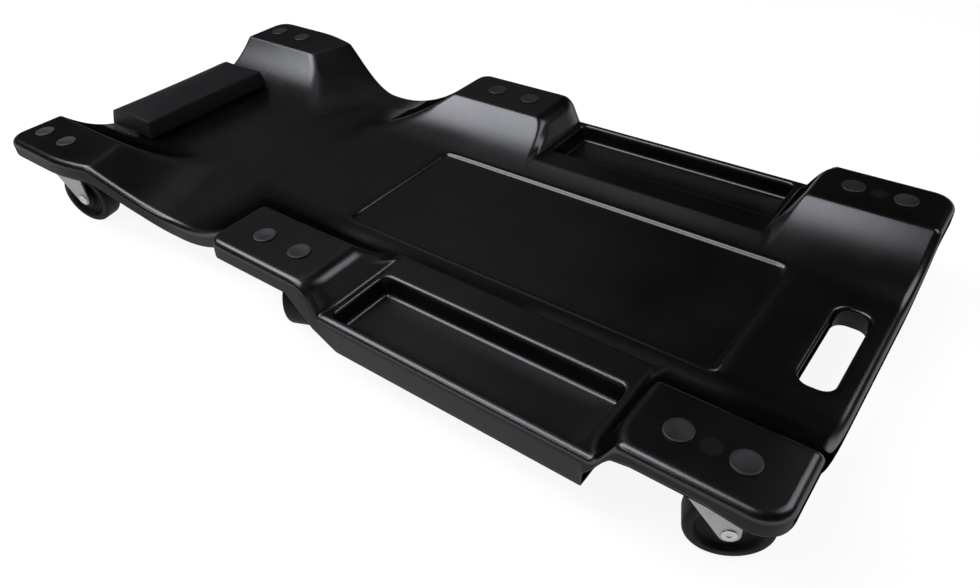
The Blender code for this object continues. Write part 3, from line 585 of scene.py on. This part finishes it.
def top_r(i):
    """Radius of the top edge at each column: finer beside a tray."""
    return TOP_EDGE_R + (TRAY_EDGE_R - TOP_EDGE_R) * ledge_share(COLUMN_X[i], KINGPIN_Y)


def under_r(i):
    """Radius of the lower edge at each column: rounder under the foot pads."""
    under_pad = np.interp(COLUMN_X[i], FOOT_PAD_X, FOOT_PAD_SHARE)
    return UNDER_EDGE_R + (FOOT_UNDER_R - UNDER_EDGE_R) * under_pad


def top_points(i, j, turn=0.0):
    """The top skin, or at a turn the ring that far round its edge."""
    x, half_width = column_edge(i, top_r(i) * (1 - math.sin(turn)))
    y = row_y(ROWS[j], half_width)
    x_in, half_in = column_edge(i, top_r(i))
    z = top_z(x_in, row_y(ROWS[j], half_in)) - top_r(i) * (1 - math.cos(turn))
    return np.stack([x, y, z], axis=-1)


def under_points(i, j, turn=math.pi / 2):
    """The underside, or at a smaller turn the ring that far round the lower edge."""
    inset = under_r(i) * (1 - math.cos(turn)) + SKIRT_DRAFT * skirt_depth(i, j)
    x, half_width = column_edge(i, inset, under=True)
    y = row_y(under_rows(j), half_width)
    z = under_z(x, y) + under_r(i) * (1 - math.sin(turn))
    return np.stack([x, y, z], axis=-1)


print("box under the trays at", round(BOX_UNDER_Z, 4))

# %% [markdown]
# ## Building the deck
# A flat grid is made once and copied for the underside. Each point knows its column and row, so it can be
# sent to its place. The outer edge is then pulled down ring by ring, round the top edge, down the side and
# round the lower edge, until it meets the underside. The hand slot is opened by deleting a block of faces on
# both skins; its square edge is eased to the rounded outline, and rings close its wall in the same way.

# %% Deck grid and rim
RIM_TURNS = np.radians([18, 36, 54, 72, 90])
UNDER_TURNS = np.radians([0, 30, 60, 90])
SKIRT_PARTS = (0.12, 0.88)


def set_places(verts, places):
    for vert, place in zip(verts, places):
        vert.co = place


def numbers(verts, layer):
    return np.array([vert[layer] for vert in verts], dtype=int)


def of_kind(items, kind):
    return [item for item in items if isinstance(item, kind)]


deck_bm = bmesh.new()
last_i, last_j = len(COLUMN_X) - 1, len(ROWS) - 1
bmesh.ops.create_grid(deck_bm, x_segments=last_i, y_segments=last_j, size=1.0)
column_of = deck_bm.verts.layers.int.new("column")
row_of = deck_bm.verts.layers.int.new("row")
for vert in deck_bm.verts:
    vert[column_of] = round((vert.co.x + 1) / 2 * last_i)
    vert[row_of] = round((vert.co.y + 1) / 2 * last_j)
top_verts = list(deck_bm.verts)
outer_rim = [edge for edge in deck_bm.edges if edge.is_boundary]
copied = bmesh.ops.duplicate(deck_bm, geom=list(deck_bm.faces))["geom"]
under_verts = of_kind(copied, bmesh.types.BMVert)
bmesh.ops.reverse_faces(deck_bm, faces=of_kind(copied, bmesh.types.BMFace))
set_places(top_verts, top_points(numbers(top_verts, column_of), numbers(top_verts, row_of)))
set_places(under_verts, under_points(numbers(under_verts, column_of), numbers(under_verts, row_of)))


def pull_rings(edges, rings):
    """Extrude an open edge once per ring; a ring gives the places of points from their columns and rows."""
    for ring in rings:
        pulled = bmesh.ops.extrude_edge_only(deck_bm, edges=edges)["geom"]
        edges = of_kind(pulled, bmesh.types.BMEdge)
        verts = of_kind(pulled, bmesh.types.BMVert)
        set_places(verts, ring(numbers(verts, column_of), numbers(verts, row_of)))


def ring_at(points, turn):
    return lambda i, j: points(i, j, turn)


def skirt_ring(part):
    """A ring on the straight side, part of the way from the top edge down to the lower edge."""
    return lambda i, j: (1 - part) * top_points(i, j, math.pi / 2) + part * under_points(i, j, 0.0)


edge_rings = [ring_at(top_points, turn) for turn in RIM_TURNS]
edge_rings += [skirt_ring(part) for part in SKIRT_PARTS]
edge_rings += [ring_at(under_points, turn) for turn in UNDER_TURNS]
pull_rings(outer_rim, edge_rings)
print("deck skins", len(deck_bm.faces), "faces")

# %% Hand slot
slot_rows = SLOT_HALF[1] + SLOT_LIP_R + TINY
slot_columns = SLOT_HALF[0] + SLOT_LIP_R + TINY
top_x, _ = column_edge(np.arange(len(COLUMN_X)), TOP_EDGE_R)
in_slot_column = np.abs(top_x - SLOT_X) < slot_columns
in_slot_row = np.abs(ROWS) < slot_rows


def in_slot(face):
    return all(in_slot_column[vert[column_of]] and in_slot_row[vert[row_of]] for vert in face.verts)


def slot_outline(i, j, offset):
    """Places on the slot's outline, grown by offset: the square block's edge eased round the corners."""
    radius = SLOT_CORNER_R + offset
    half_x, half_y = SLOT_HALF[0] + offset, SLOT_HALF[1] + offset
    x, y = np.clip(top_x[i] - SLOT_X, -half_x, half_x), np.clip(ROWS[j], -half_y, half_y)
    on_side = np.abs(top_x[i] - SLOT_X) > slot_columns - 2 * TINY
    from_corner = np.where(on_side, half_y - np.abs(y), half_x - np.abs(x))
    turn = math.pi / 4 * (1 - share(from_corner / radius))
    turn = np.where(on_side, turn, math.pi / 2 - turn)
    curve_x = half_x - radius + radius * np.cos(turn)
    curve_y = half_y - radius + radius * np.sin(turn)
    turned_corner = from_corner < radius
    out_x = np.where(turned_corner, curve_x, np.where(on_side, half_x, np.abs(x)))
    out_y = np.where(turned_corner, curve_y, np.where(on_side, np.abs(y), half_y))
    return SLOT_X + np.copysign(out_x, top_x[i] - SLOT_X), np.copysign(out_y, ROWS[j])


def slot_ring(offset, z):
    def ring(i, j):
        x, y = slot_outline(i, j, offset)
        return np.stack([x, y, np.full(len(x), z)], axis=-1)
    return ring


block = [face for face in deck_bm.faces if in_slot(face)]
block_edges = {edge for face in block for edge in face.edges}
block_rim = [edge for edge in block_edges if sum(face in block for face in edge.link_faces) == 1]
bmesh.ops.delete(deck_bm, geom=block, context="FACES")
slot_rim = [edge for edge in block_rim if edge.is_valid]
mid_wall_z = FLOOR_Z - DECK_T / 2
top_rim = [edge for edge in slot_rim if edge.verts[0].co.z > mid_wall_z]
under_rim = [edge for edge in slot_rim if edge.verts[0].co.z < mid_wall_z]
for rim, offset in ((top_rim, SLOT_LIP_R), (under_rim, SLOT_UNDER_R)):
    rim_verts = list({vert for edge in rim for vert in edge.verts})
    ring = slot_ring(offset, rim_verts[0].co.z)
    set_places(rim_verts, ring(numbers(rim_verts, column_of), numbers(rim_verts, row_of)))
slot_lip = [slot_ring(SLOT_LIP_R * (1 - math.sin(turn)), FLOOR_Z - SLOT_LIP_R * (1 - math.cos(turn)))
            for turn in RIM_TURNS]
slot_foot = [slot_ring(SLOT_UNDER_R * (1 - math.cos(turn)),
                       FLOOR_Z - DECK_T + SLOT_UNDER_R * (1 - math.sin(turn)))
             for turn in UNDER_TURNS]
pull_rings(top_rim, slot_lip + slot_foot)
print("slot opened in", len(block), "faces")

# %% [markdown]
# ## Placing a finished piece
# Every piece ends the same way: doubles merged, faces turned outwards, smooth shading with sharp folds kept,
# its finish, the body it rides on, and the solid that it stands for. One helper does this, so no piece can
# miss a step. Another rounds off edges or corners.

# %% Helpers that round and place pieces
def round_off(bm, geom, radius, segments, affect="EDGES"):
    bmesh.ops.bevel(bm, geom=geom, offset=radius, offset_type="OFFSET", affect=affect, segments=segments,
                    profile=0.5, material=-1)


def add_piece(name, bm, finish, body, slot, *solids, fold=40.0):
    bmesh.ops.remove_doubles(bm, verts=bm.verts, dist=TINY)
    bmesh.ops.recalc_face_normals(bm, faces=bm.faces)
    mesh = bpy.data.meshes.new(name)
    bm.to_mesh(mesh)
    bm.free()
    mesh.shade_smooth()
    mesh.set_sharp_from_angle(angle=math.radians(fold))
    mesh.materials.append(finish)
    piece = bpy.data.objects.new(name, mesh)
    scene.collection.objects.link(piece)
    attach(piece, body)
    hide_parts(*solids)
    return piece


deck = add_piece("deck_moulding", deck_bm, deck_plastic, "chassis", "deck_plastic", "deck", fold=80.0)
print("deck", len(deck.data.polygons), "faces")

# %% [markdown]
# ## The headrest
# The headrest is a foam block in a vinyl cover, stapled to a board. It is a padded piece, so it is filled by
# a cloth simulation rather than drawn: the cover starts a little slack, its folded edges and its underside
# are held, and a light pressure swells the faces between them. The simulated shape is then kept as the mesh.

# %% Vinyl
pad_vinyl = new_finish("pad_vinyl", (0.0010, 0.0010, 0.0011), (0.0024, 0.0024, 0.0026), (0.50, 0.62), 22.0,
                       specular=0.30)
leather_grain = pattern(pad_vinyl.node_tree, "ShaderNodeTexVoronoi", 900.0)
add_relief(pad_vinyl, leather_grain, "Distance", 0.0003, 0.25)
print("vinyl made")

# %% Slack cover
PAD_X = -0.446
PAD_Z = 0.0781
PAD_HALF = (0.047, 0.0995)
PAD_HEIGHT = 0.024
PAD_NARROWS = 0.004
PAD_DRAW_IN = 0.002
PAD_CROWN = 0.002
PAD_BACK_FALL = 0.0030
PAD_BACK_FROM = 0.78
PAD_CELL = 0.0047
SLACK_FOLD = math.radians(50)
CUBE_EDGE = 2.0

pad_bm = bmesh.new()
bmesh.ops.create_cube(pad_bm, size=CUBE_EDGE)
bmesh.ops.translate(pad_bm, verts=pad_bm.verts, vec=(0, 0, 1))
for axis, size in ((0, 2 * PAD_HALF[0]), (1, 2 * PAD_HALF[1]), (2, PAD_HEIGHT)):
    along_axis = [edge for edge in pad_bm.edges
                  if abs(edge.verts[0].co[axis] - edge.verts[1].co[axis]) > 0.95 * CUBE_EDGE]
    bmesh.ops.subdivide_edges(pad_bm, edges=along_axis, cuts=round(size / PAD_CELL) - 1, use_grid_fill=True)
for vert in pad_bm.verts:
    across, along, up = vert.co.x, vert.co.y, vert.co.z / CUBE_EDGE
    crown = PAD_CROWN * (1 - across ** 2) * (1 - along ** 2)
    back_fall = PAD_BACK_FALL * float(ease((-across - PAD_BACK_FROM) / (1 - PAD_BACK_FROM)))
    narrowing = PAD_NARROWS * up
    vert.co.x = PAD_X + across * (PAD_HALF[0] - PAD_DRAW_IN * (1 - along ** 2) - narrowing)
    vert.co.y = along * (PAD_HALF[1] - PAD_DRAW_IN * (1 - across ** 2) - narrowing)
    vert.co.z = PAD_Z + up * (PAD_HEIGHT - PAD_CROWN - back_fall + crown)
folds = {edge for edge in pad_bm.edges if edge.calc_face_angle() > SLACK_FOLD}
held = {vert.index for edge in folds for vert in edge.verts}
held |= {vert.index for vert in pad_bm.verts if vert.co.z < PAD_Z + TINY}
headrest = add_piece("headrest_cushion", pad_bm, pad_vinyl, "chassis", "pad_vinyl", "headrest_pad", fold=70.0)
print("cover", len(headrest.data.vertices), "points,", len(held), "held")

# %% Fill the cover
FILL_FRAMES = 20
FILL_PRESSURE = 4.0
FILL_CAP = 0.0022
FILLED_FOLD = math.radians(45)
COVER_EDGE_R = 0.0012


def fill(piece, held_points):
    """Swell a cover by pressure, keep each point within FILL_CAP of where it was, and leave a plain mesh."""
    group = piece.vertex_groups.new(name="held")
    group.add(sorted(held_points), 1.0, "REPLACE")
    cloth = piece.modifiers.new("Filling", "CLOTH")
    cloth.settings.vertex_group_mass = "held"
    cloth.settings.use_pressure = True
    cloth.settings.uniform_pressure_force = FILL_PRESSURE
    cloth.settings.effector_weights.gravity = 0.0
    cloth.point_cache.frame_start = 1
    cloth.point_cache.frame_end = FILL_FRAMES
    for number in range(1, FILL_FRAMES + 1):
        scene.frame_set(number)
    graph = bpy.context.evaluated_depsgraph_get()
    filled = [vert.co.copy() for vert in piece.evaluated_get(graph).data.vertices]
    piece.modifiers.remove(cloth)
    piece.vertex_groups.remove(group)
    scene.frame_set(1)
    largest = 0.0
    for vert, place in zip(piece.data.vertices, filled):
        step = place - vert.co
        if step.length > FILL_CAP:
            step *= FILL_CAP / step.length
        largest = max(largest, step.length)
        vert.co += step
    return largest


print("cover swelled by up to", round(fill(headrest, held), 5), "m")
cover_bm = bmesh.new()
cover_bm.from_mesh(headrest.data)
fold_edges = [edge for edge in cover_bm.edges if edge.calc_face_angle() > FILLED_FOLD]
round_off(cover_bm, fold_edges, COVER_EDGE_R, 2)
cover_bm.to_mesh(headrest.data)
cover_bm.free()
headrest.data.shade_smooth()
softening = headrest.modifiers.new("Soften", "SUBSURF")
softening.levels = 1
softening.render_levels = 1
print("headrest", len(headrest.data.polygons), "faces")

# %% [markdown]
# ## Board and screws
# The board under the cushion and its two screws hardly show, and their solids have the right shape. They keep
# their own meshes and only get a better finish: plies along the board's edge, and turned marks on the screws.

# %% Plywood and bright steel
plywood = new_finish("plywood", (0.36, 0.25, 0.14), (0.48, 0.35, 0.21), (0.62, 0.78), 30.0)
plies = pattern(plywood.node_tree, "ShaderNodeTexNoise", 40.0, (4.0, 0.6, 30.0))
add_relief(plywood, plies, "Fac", 0.0004, 0.3)
bright_steel = new_finish("bright_steel", (0.42, 0.42, 0.42), (0.54, 0.54, 0.54), (0.30, 0.44), 120.0,
                          metallic=1.0)
turning_marks = pattern(bright_steel.node_tree, "ShaderNodeTexNoise", 900.0)
add_relief(bright_steel, turning_marks, "Fac", 0.0001, 0.2)


def refinish(node, finish):
    solid = frame["nodes"][node]
    solid.data.materials.clear()
    solid.data.materials.append(finish)


refinish("headrest_board", plywood)
for side in ("right", "left"):
    refinish(f"headrest_screw_{side}", bright_steel)
print("board and screws finished")

# %% [markdown]
# ## Turned pieces of the casters
# Wheels, axles, kingpins, ball rings and rivets are all round. Each is half a section spun about its axis.
# The sections have rounded corners because these make the thin bright lines on real parts.

# %% Helpers for turned pieces
def arc(middle, radius, start, end, steps):
    """Points on an arc, with its angles in degrees."""
    angles = np.radians(np.linspace(start, end, steps + 1))
    return [(middle[0] + radius * math.cos(a), middle[1] + radius * math.sin(a)) for a in angles]


def turned(section, steps, closed=False):
    """Spin a section of (radius, height) points about Z."""
    bm = bmesh.new()
    points = [bm.verts.new((radius, 0.0, height)) for radius, height in section]
    edges = [bm.edges.new(pair) for pair in zip(points, points[1:])]
    if closed:
        edges.append(bm.edges.new((points[-1], points[0])))
    bmesh.ops.spin(bm, geom=points + edges, cent=(0, 0, 0), axis=(0, 0, 1), angle=2 * math.pi, steps=steps,
                   use_merge=True)
    return bm


def raised(section, height):
    """A section lifted by a height."""
    return [(radius, height + rise) for radius, rise in section]


def mirrored(section):
    """A section followed by its mirror image below."""
    return section + [(radius, -height) for radius, height in reversed(section)]


print("turning helpers ready")

# %% Sections
WHEEL_R = 0.035
WHEEL_HALF = 0.012
TREAD_R = 0.0035
FORK_IN = 0.013
SHEET = 0.0025
FORK_OUT = FORK_IN + SHEET
CLEAR = 0.0003
CROWN_UNDER_Z = 0.0816
CROWN_TOP_Z = CROWN_UNDER_Z + SHEET
PLATE_Z = 0.0887
PLATE_T = 0.0025

wheel_side = [(0.0078, 0.0120), (0.0120, 0.0120), (0.0128, 0.0112), (0.0136, 0.0072), (0.0150, 0.0062),
              (0.0235, 0.0062), (0.0247, 0.0070), (0.0262, 0.0108), (0.0272, 0.0118), (0.0284, 0.0120)]
wheel_side += arc((WHEEL_R - TREAD_R, WHEEL_HALF - TREAD_R), TREAD_R, 90, 0, 6)
wheel_section = mirrored(wheel_side)
axle_head = [(0.0, 0.0003), (0.0018, 0.0003), (0.0022, 0.0009), (0.0050, 0.0009), (0.0059, 0.0006),
             (0.0062, 0.0), (0.0040, 0.0)]
axle_section = mirrored(raised(axle_head, FORK_OUT + CLEAR))
ring_race = [(0.0115, 0.0012), (0.0125, 0.0002), (0.0150, 0.0), (0.0175, 0.0003), (0.0185, 0.0012),
             (0.0181, 0.0020), (0.0185, 0.0028), (0.0175, 0.0037), (0.0150, 0.0040), (0.0125, 0.0038),
             (0.0115, 0.0028)]
ring_section = raised(ring_race, CROWN_TOP_Z + CLEAR)
pin_head = [(0.0, 0.0026), (0.0055, 0.0025), (0.0074, 0.0010), (0.0078, 0.0), (0.0045, 0.0)]
pin_foot = [(0.0045, 0.0), (0.0078, 0.0), (0.0074, -0.0010), (0.0050, -0.0022), (0.0, -0.0026)]
kingpin_section = raised(pin_head, PLATE_Z + PLATE_T + CLEAR) + raised(pin_foot, CROWN_UNDER_Z - CLEAR)
print("wheel section", len(wheel_section), "points")

# %% [markdown]
# ## The rivet caps
# Twelve broad rivets hold the caster plates. Their heads are the round grey caps on the pads: flat discs, a
# little hollow, with a rolled lip. A cylinder would look the same from far off, but the hollow face is what
# makes one side of each cap light and the other dark.

# %% Rivet section
CAP_Z = PAD_TOP_Z + CLEAR
CAP_R = 0.0118
CAP_H = 0.0013
CAP_LIP = 0.0010
RIVET_R = 0.0032
RIVET_LOW = PLATE_Z - CLEAR

cap_top = CAP_Z + CAP_H
cap_face = [(0.0, -0.0007), (0.0040, -0.0006), (0.0070, -0.0004), (0.0090, -0.0001), (0.0100, 0.0)]
rivet_foot = [(RIVET_R, 0.0), (0.0056, 0.0), (0.0052, -0.0009), (0.0034, -0.0016), (0.0, -0.0017)]
rivet_section = raised(cap_face, cap_top)
rivet_section += arc((CAP_R - CAP_LIP, cap_top - CAP_LIP), CAP_LIP, 80, 0, 4)
rivet_section += [(CAP_R, CAP_Z), (RIVET_R, CAP_Z)] + raised(rivet_foot, RIVET_LOW)
print("cap", 2 * CAP_R, "m across")

# %% [markdown]
# ## The fork
# The fork is one pressed sheet: a crown that the kingpin passes through and two legs bent down over the
# wheel. Bending a sheet is easy to copy: the bent section is drawn once, pulled along the fork, trimmed by
# planes to the leg's outline, and only then given its thickness, so the bend keeps one even wall as pressed
# steel does.

# %% Fork mesh
TRAIL = 0.022
FORK_FRONT = 0.015
EYE_R = 0.0085
FORK_REAR = TRAIL + EYE_R
BEND_R = 0.0045
LEG_TOP_Z = 0.07
FORK_STEPS = 12
EYE_CUTS = np.radians(np.linspace(-10, -148, 13))
CROWN_R = 0.0215
CROWN_BORE_R = 0.0052
CROWN_EDGE_R = 0.0012


def trim(bm, place, normal):
    """Cut the mesh by a plane and drop what lies on the side its normal points to."""
    bmesh.ops.bisect_plane(bm, geom=bm.verts[:] + bm.edges[:] + bm.faces[:], dist=TINY, plane_co=place,
                           plane_no=normal, clear_outer=True)


def fork_mesh():
    bm = bmesh.new()
    bend = arc((FORK_OUT - BEND_R, CROWN_TOP_Z - BEND_R), BEND_R, 90, 0, 6)
    leg = [(FORK_OUT, z) for z in np.linspace(LEG_TOP_Z, WHEEL_R - EYE_R, 8)]
    half = [(0.0, CROWN_TOP_Z)] + bend + leg
    section = [(-y, z) for y, z in reversed(half[1:])] + half
    points = [bm.verts.new((-FORK_FRONT, y, z)) for y, z in section]
    edges = [bm.edges.new(pair) for pair in zip(points, points[1:])]
    for _ in range(FORK_STEPS):
        pulled = bmesh.ops.extrude_edge_only(bm, edges=edges)["geom"]
        edges = of_kind(pulled, bmesh.types.BMEdge)
        verts = of_kind(pulled, bmesh.types.BMVert)
        bmesh.ops.translate(bm, verts=verts, vec=((FORK_REAR + FORK_FRONT) / FORK_STEPS, 0, 0))
    for turn in EYE_CUTS:
        out = Vector((math.cos(turn), 0, math.sin(turn)))
        trim(bm, Vector((TRAIL, 0, WHEEL_R)) + out * EYE_R, out)
    bmesh.ops.recalc_face_normals(bm, faces=bm.faces)
    bmesh.ops.solidify(bm, geom=bm.faces[:], thickness=SHEET)
    edge_place = (CROWN_R - CROWN_EDGE_R, CROWN_TOP_Z - CROWN_EDGE_R)
    crown_section = [(CROWN_BORE_R, CROWN_UNDER_Z), (CROWN_BORE_R, CROWN_TOP_Z), (edge_place[0], CROWN_TOP_Z)]
    crown_section += arc(edge_place, CROWN_EDGE_R, 90, 0, 3) + [(CROWN_R, CROWN_UNDER_Z)]
    crown = turned(crown_section, 48, closed=True)
    crown_mesh = bpy.data.meshes.new("fork_crown")
    crown.to_mesh(crown_mesh)
    crown.free()
    bm.from_mesh(crown_mesh)
    bpy.data.meshes.remove(crown_mesh)
    return bm


print("fork from", -FORK_FRONT, "to", FORK_REAR)

# %% [markdown]
# ## Caster plate
# The plate is flat strip with clipped round corners and broken edges. It is a grid square whose corners are
# bevelled in plan, pulled up by its thickness and bevelled again, finer, along its rims.

# %% Plate mesh
PLATE_HALF = (0.036, 0.022)
PLATE_CORNER_R = 0.007
PLATE_EDGE_R = 0.0005
PLATE_FOLD = math.radians(60)


def plate_mesh():
    bm = bmesh.new()
    bmesh.ops.create_grid(bm, x_segments=1, y_segments=1, size=1.0)
    bmesh.ops.scale(bm, vec=(*PLATE_HALF, 1.0), verts=bm.verts)
    round_off(bm, bm.verts[:], PLATE_CORNER_R, 6, affect="VERTICES")
    upper = bmesh.ops.extrude_face_region(bm, geom=bm.faces[:], use_keep_orig=True)["geom"]
    bmesh.ops.translate(bm, verts=of_kind(upper, bmesh.types.BMVert), vec=(0, 0, PLATE_T))
    bmesh.ops.recalc_face_normals(bm, faces=bm.faces)
    rims = [edge for edge in bm.edges if edge.calc_face_angle() > PLATE_FOLD]
    round_off(bm, rims, PLATE_EDGE_R, 2)
    bmesh.ops.translate(bm, verts=bm.verts, vec=(0, 0, PLATE_Z))
    return bm


print("plate", PLATE_HALF)

# %% [markdown]
# ## Finishes of the casters
# Zinc plating is a pale, slightly cloudy grey metal. The wheels are matte black with a faint drag grain from
# turning. The rivet caps are dark grey and dull, and the bush in the wheel's bore is bare nylon.

# %% Caster finishes
zinc_plate = new_finish("zinc_plate", (0.28, 0.28, 0.27), (0.37, 0.37, 0.36), (0.42, 0.56), 70.0,
                        metallic=1.0)
zinc_grain = pattern(zinc_plate.node_tree, "ShaderNodeTexNoise", 700.0)
add_relief(zinc_plate, zinc_grain, "Fac", 0.0001, 0.25)
wheel_rubber = new_finish("wheel_rubber", (0.0010, 0.0010, 0.0010), (0.0024, 0.0023, 0.0023), (0.56, 0.70),
                          60.0, specular=0.18)
wheel_drag = pattern(wheel_rubber.node_tree, "ShaderNodeTexNoise", 500.0)
add_relief(wheel_rubber, wheel_drag, "Fac", 0.0002, 0.25)
rivet_coat = new_finish("rivet_coat", (0.0055, 0.0055, 0.0062), (0.0095, 0.0095, 0.0104), (0.44, 0.58), 90.0,
                        specular=0.80)
rivet_grain = pattern(rivet_coat.node_tree, "ShaderNodeTexNoise", 1100.0)
add_relief(rivet_coat, rivet_grain, "Fac", 0.0001, 0.3)
bush_nylon = new_finish("bush_nylon", (0.54, 0.52, 0.46), (0.64, 0.62, 0.56), (0.42, 0.55), 150.0)
print("caster finishes made")

# %% [markdown]
# ## Six casters
# All casters are alike; only their place and swivel differ. Each piece is made about its own kingpin, then
# turned and moved to the joints of the loaded frame, so that it spins about the right axis when it is posed.

# %% Place the casters
RIVET_REACH = 0.0254
joints = {joint["name"]: joint for joint in frame["joints"]}
axle_turn = Matrix.Rotation(-math.pi / 2, 4, "X")


def add_caster(label):
    kingpin = Vector(joints[f"{label}_swivel_turn"]["pos_m"])
    axle = Vector(joints[f"{label}_wheel_spin"]["pos_m"])
    trail = axle - kingpin
    stand = Matrix.Translation((kingpin.x, kingpin.y, 0))
    swivel = stand @ Matrix.Rotation(math.atan2(trail.y, trail.x), 4, "Z")
    spin = swivel @ Matrix.Translation((TRAIL, 0, WHEEL_R)) @ axle_turn
    swivel_body, roller_body = f"{label}_swivel", f"{label}_roller"
    ball_ring = turned(ring_section, 48, closed=True)
    pieces = (
        ("wheel", turned(wheel_section, 72, closed=True), spin, wheel_rubber, roller_body, "wheel_rubber"),
        ("axle", turned(axle_section, 32), spin, bright_steel, swivel_body, "bright_steel"),
        ("fork", fork_mesh(), swivel, zinc_plate, swivel_body, "zinc_plate"),
        ("ball_ring", ball_ring, swivel, bright_steel, swivel_body, "bright_steel"),
        ("kingpin", turned(kingpin_section, 32), stand, bright_steel, "chassis", "bright_steel"),
        ("caster_plate", plate_mesh(), stand, zinc_plate, "chassis", "zinc_plate"),
    )
    for kind, bm, place, finish, body, slot in pieces:
        bmesh.ops.transform(bm, matrix=place, verts=bm.verts)
        add_piece(f"{label}_{kind}_shape", bm, finish, body, slot, f"{label}_{kind}")
    for letter, offset in (("a", -RIVET_REACH), ("b", RIVET_REACH)):
        rivet = turned(rivet_section, 48)
        bmesh.ops.translate(rivet, verts=rivet.verts, vec=(kingpin.x + offset, kingpin.y, 0))
        add_piece(f"{label}_rivet_{letter}_shape", rivet, rivet_coat, "chassis", "rivet_coat",
                  f"{label}_rivet_{letter}")
    refinish(f"{label}_wheel_bush", bush_nylon)


for station in ("head", "mid", "foot"):
    for side in ("right", "left"):
        add_caster(f"{station}_{side}")

# %% [markdown]
# ## Painted sheen over the foot kingpins
# On a foot pad a faint round dimple lies over the head of the kingpin, between the two rivets, and it shows
# only by the light it catches. It could be modelled as a dimple in the moulding. Here that light is painted
# instead: the plastic gets a lighter round spot, a painted sheen that stays the same under any lamp.

# %% Painted sheen over the foot kingpins
# Painted sheen: the tone, radius and soft edge of a lighter round spot that stands for the light a dimple
# over each foot kingpin catches
SHEEN_SPOT_R = 0.0088
SHEEN_SPOT_EDGE = 0.0010
PAINTED_SHEEN_TONE = (0.0080, 0.0078, 0.0080, 1.0)
# Colour sockets of the Mix node, which share their names with its sockets for numbers
MIX_FIRST, MIX_SECOND, MIX_RESULT = 6, 7, 2
# Paint the sheen spot into the deck plastic's base colour around each foot kingpin
for side in ("right", "left"):
    on_deck = plastic.nodes.new("ShaderNodeTexCoord")
    reach = plastic.nodes.new("ShaderNodeVectorMath")
    reach.operation = "DISTANCE"
    reach.inputs[1].default_value = (*joints[f"foot_{side}_swivel_turn"]["pos_m"][:2], PAD_TOP_Z)
    join(plastic, on_deck, "Object", reach, 0)
    sheen_spot = plastic.nodes.new("ShaderNodeMix")
    sheen_spot.data_type = "RGBA"
    sheen_spot.inputs[MIX_SECOND].default_value = PAINTED_SHEEN_TONE
    plain_colour = plastic_shader.inputs["Base Color"].links[0].from_socket
    plastic.links.new(plain_colour, sheen_spot.inputs[MIX_FIRST])
    join(plastic, between(plastic, reach, "Value", 1.0, 0.0, SHEEN_SPOT_R - SHEEN_SPOT_EDGE, SHEEN_SPOT_R), "Result", sheen_spot, 0)
    join(plastic, sheen_spot, MIX_RESULT, plastic_shader, "Base Color")
print("marks over the foot kingpins, radius", SHEEN_SPOT_R)
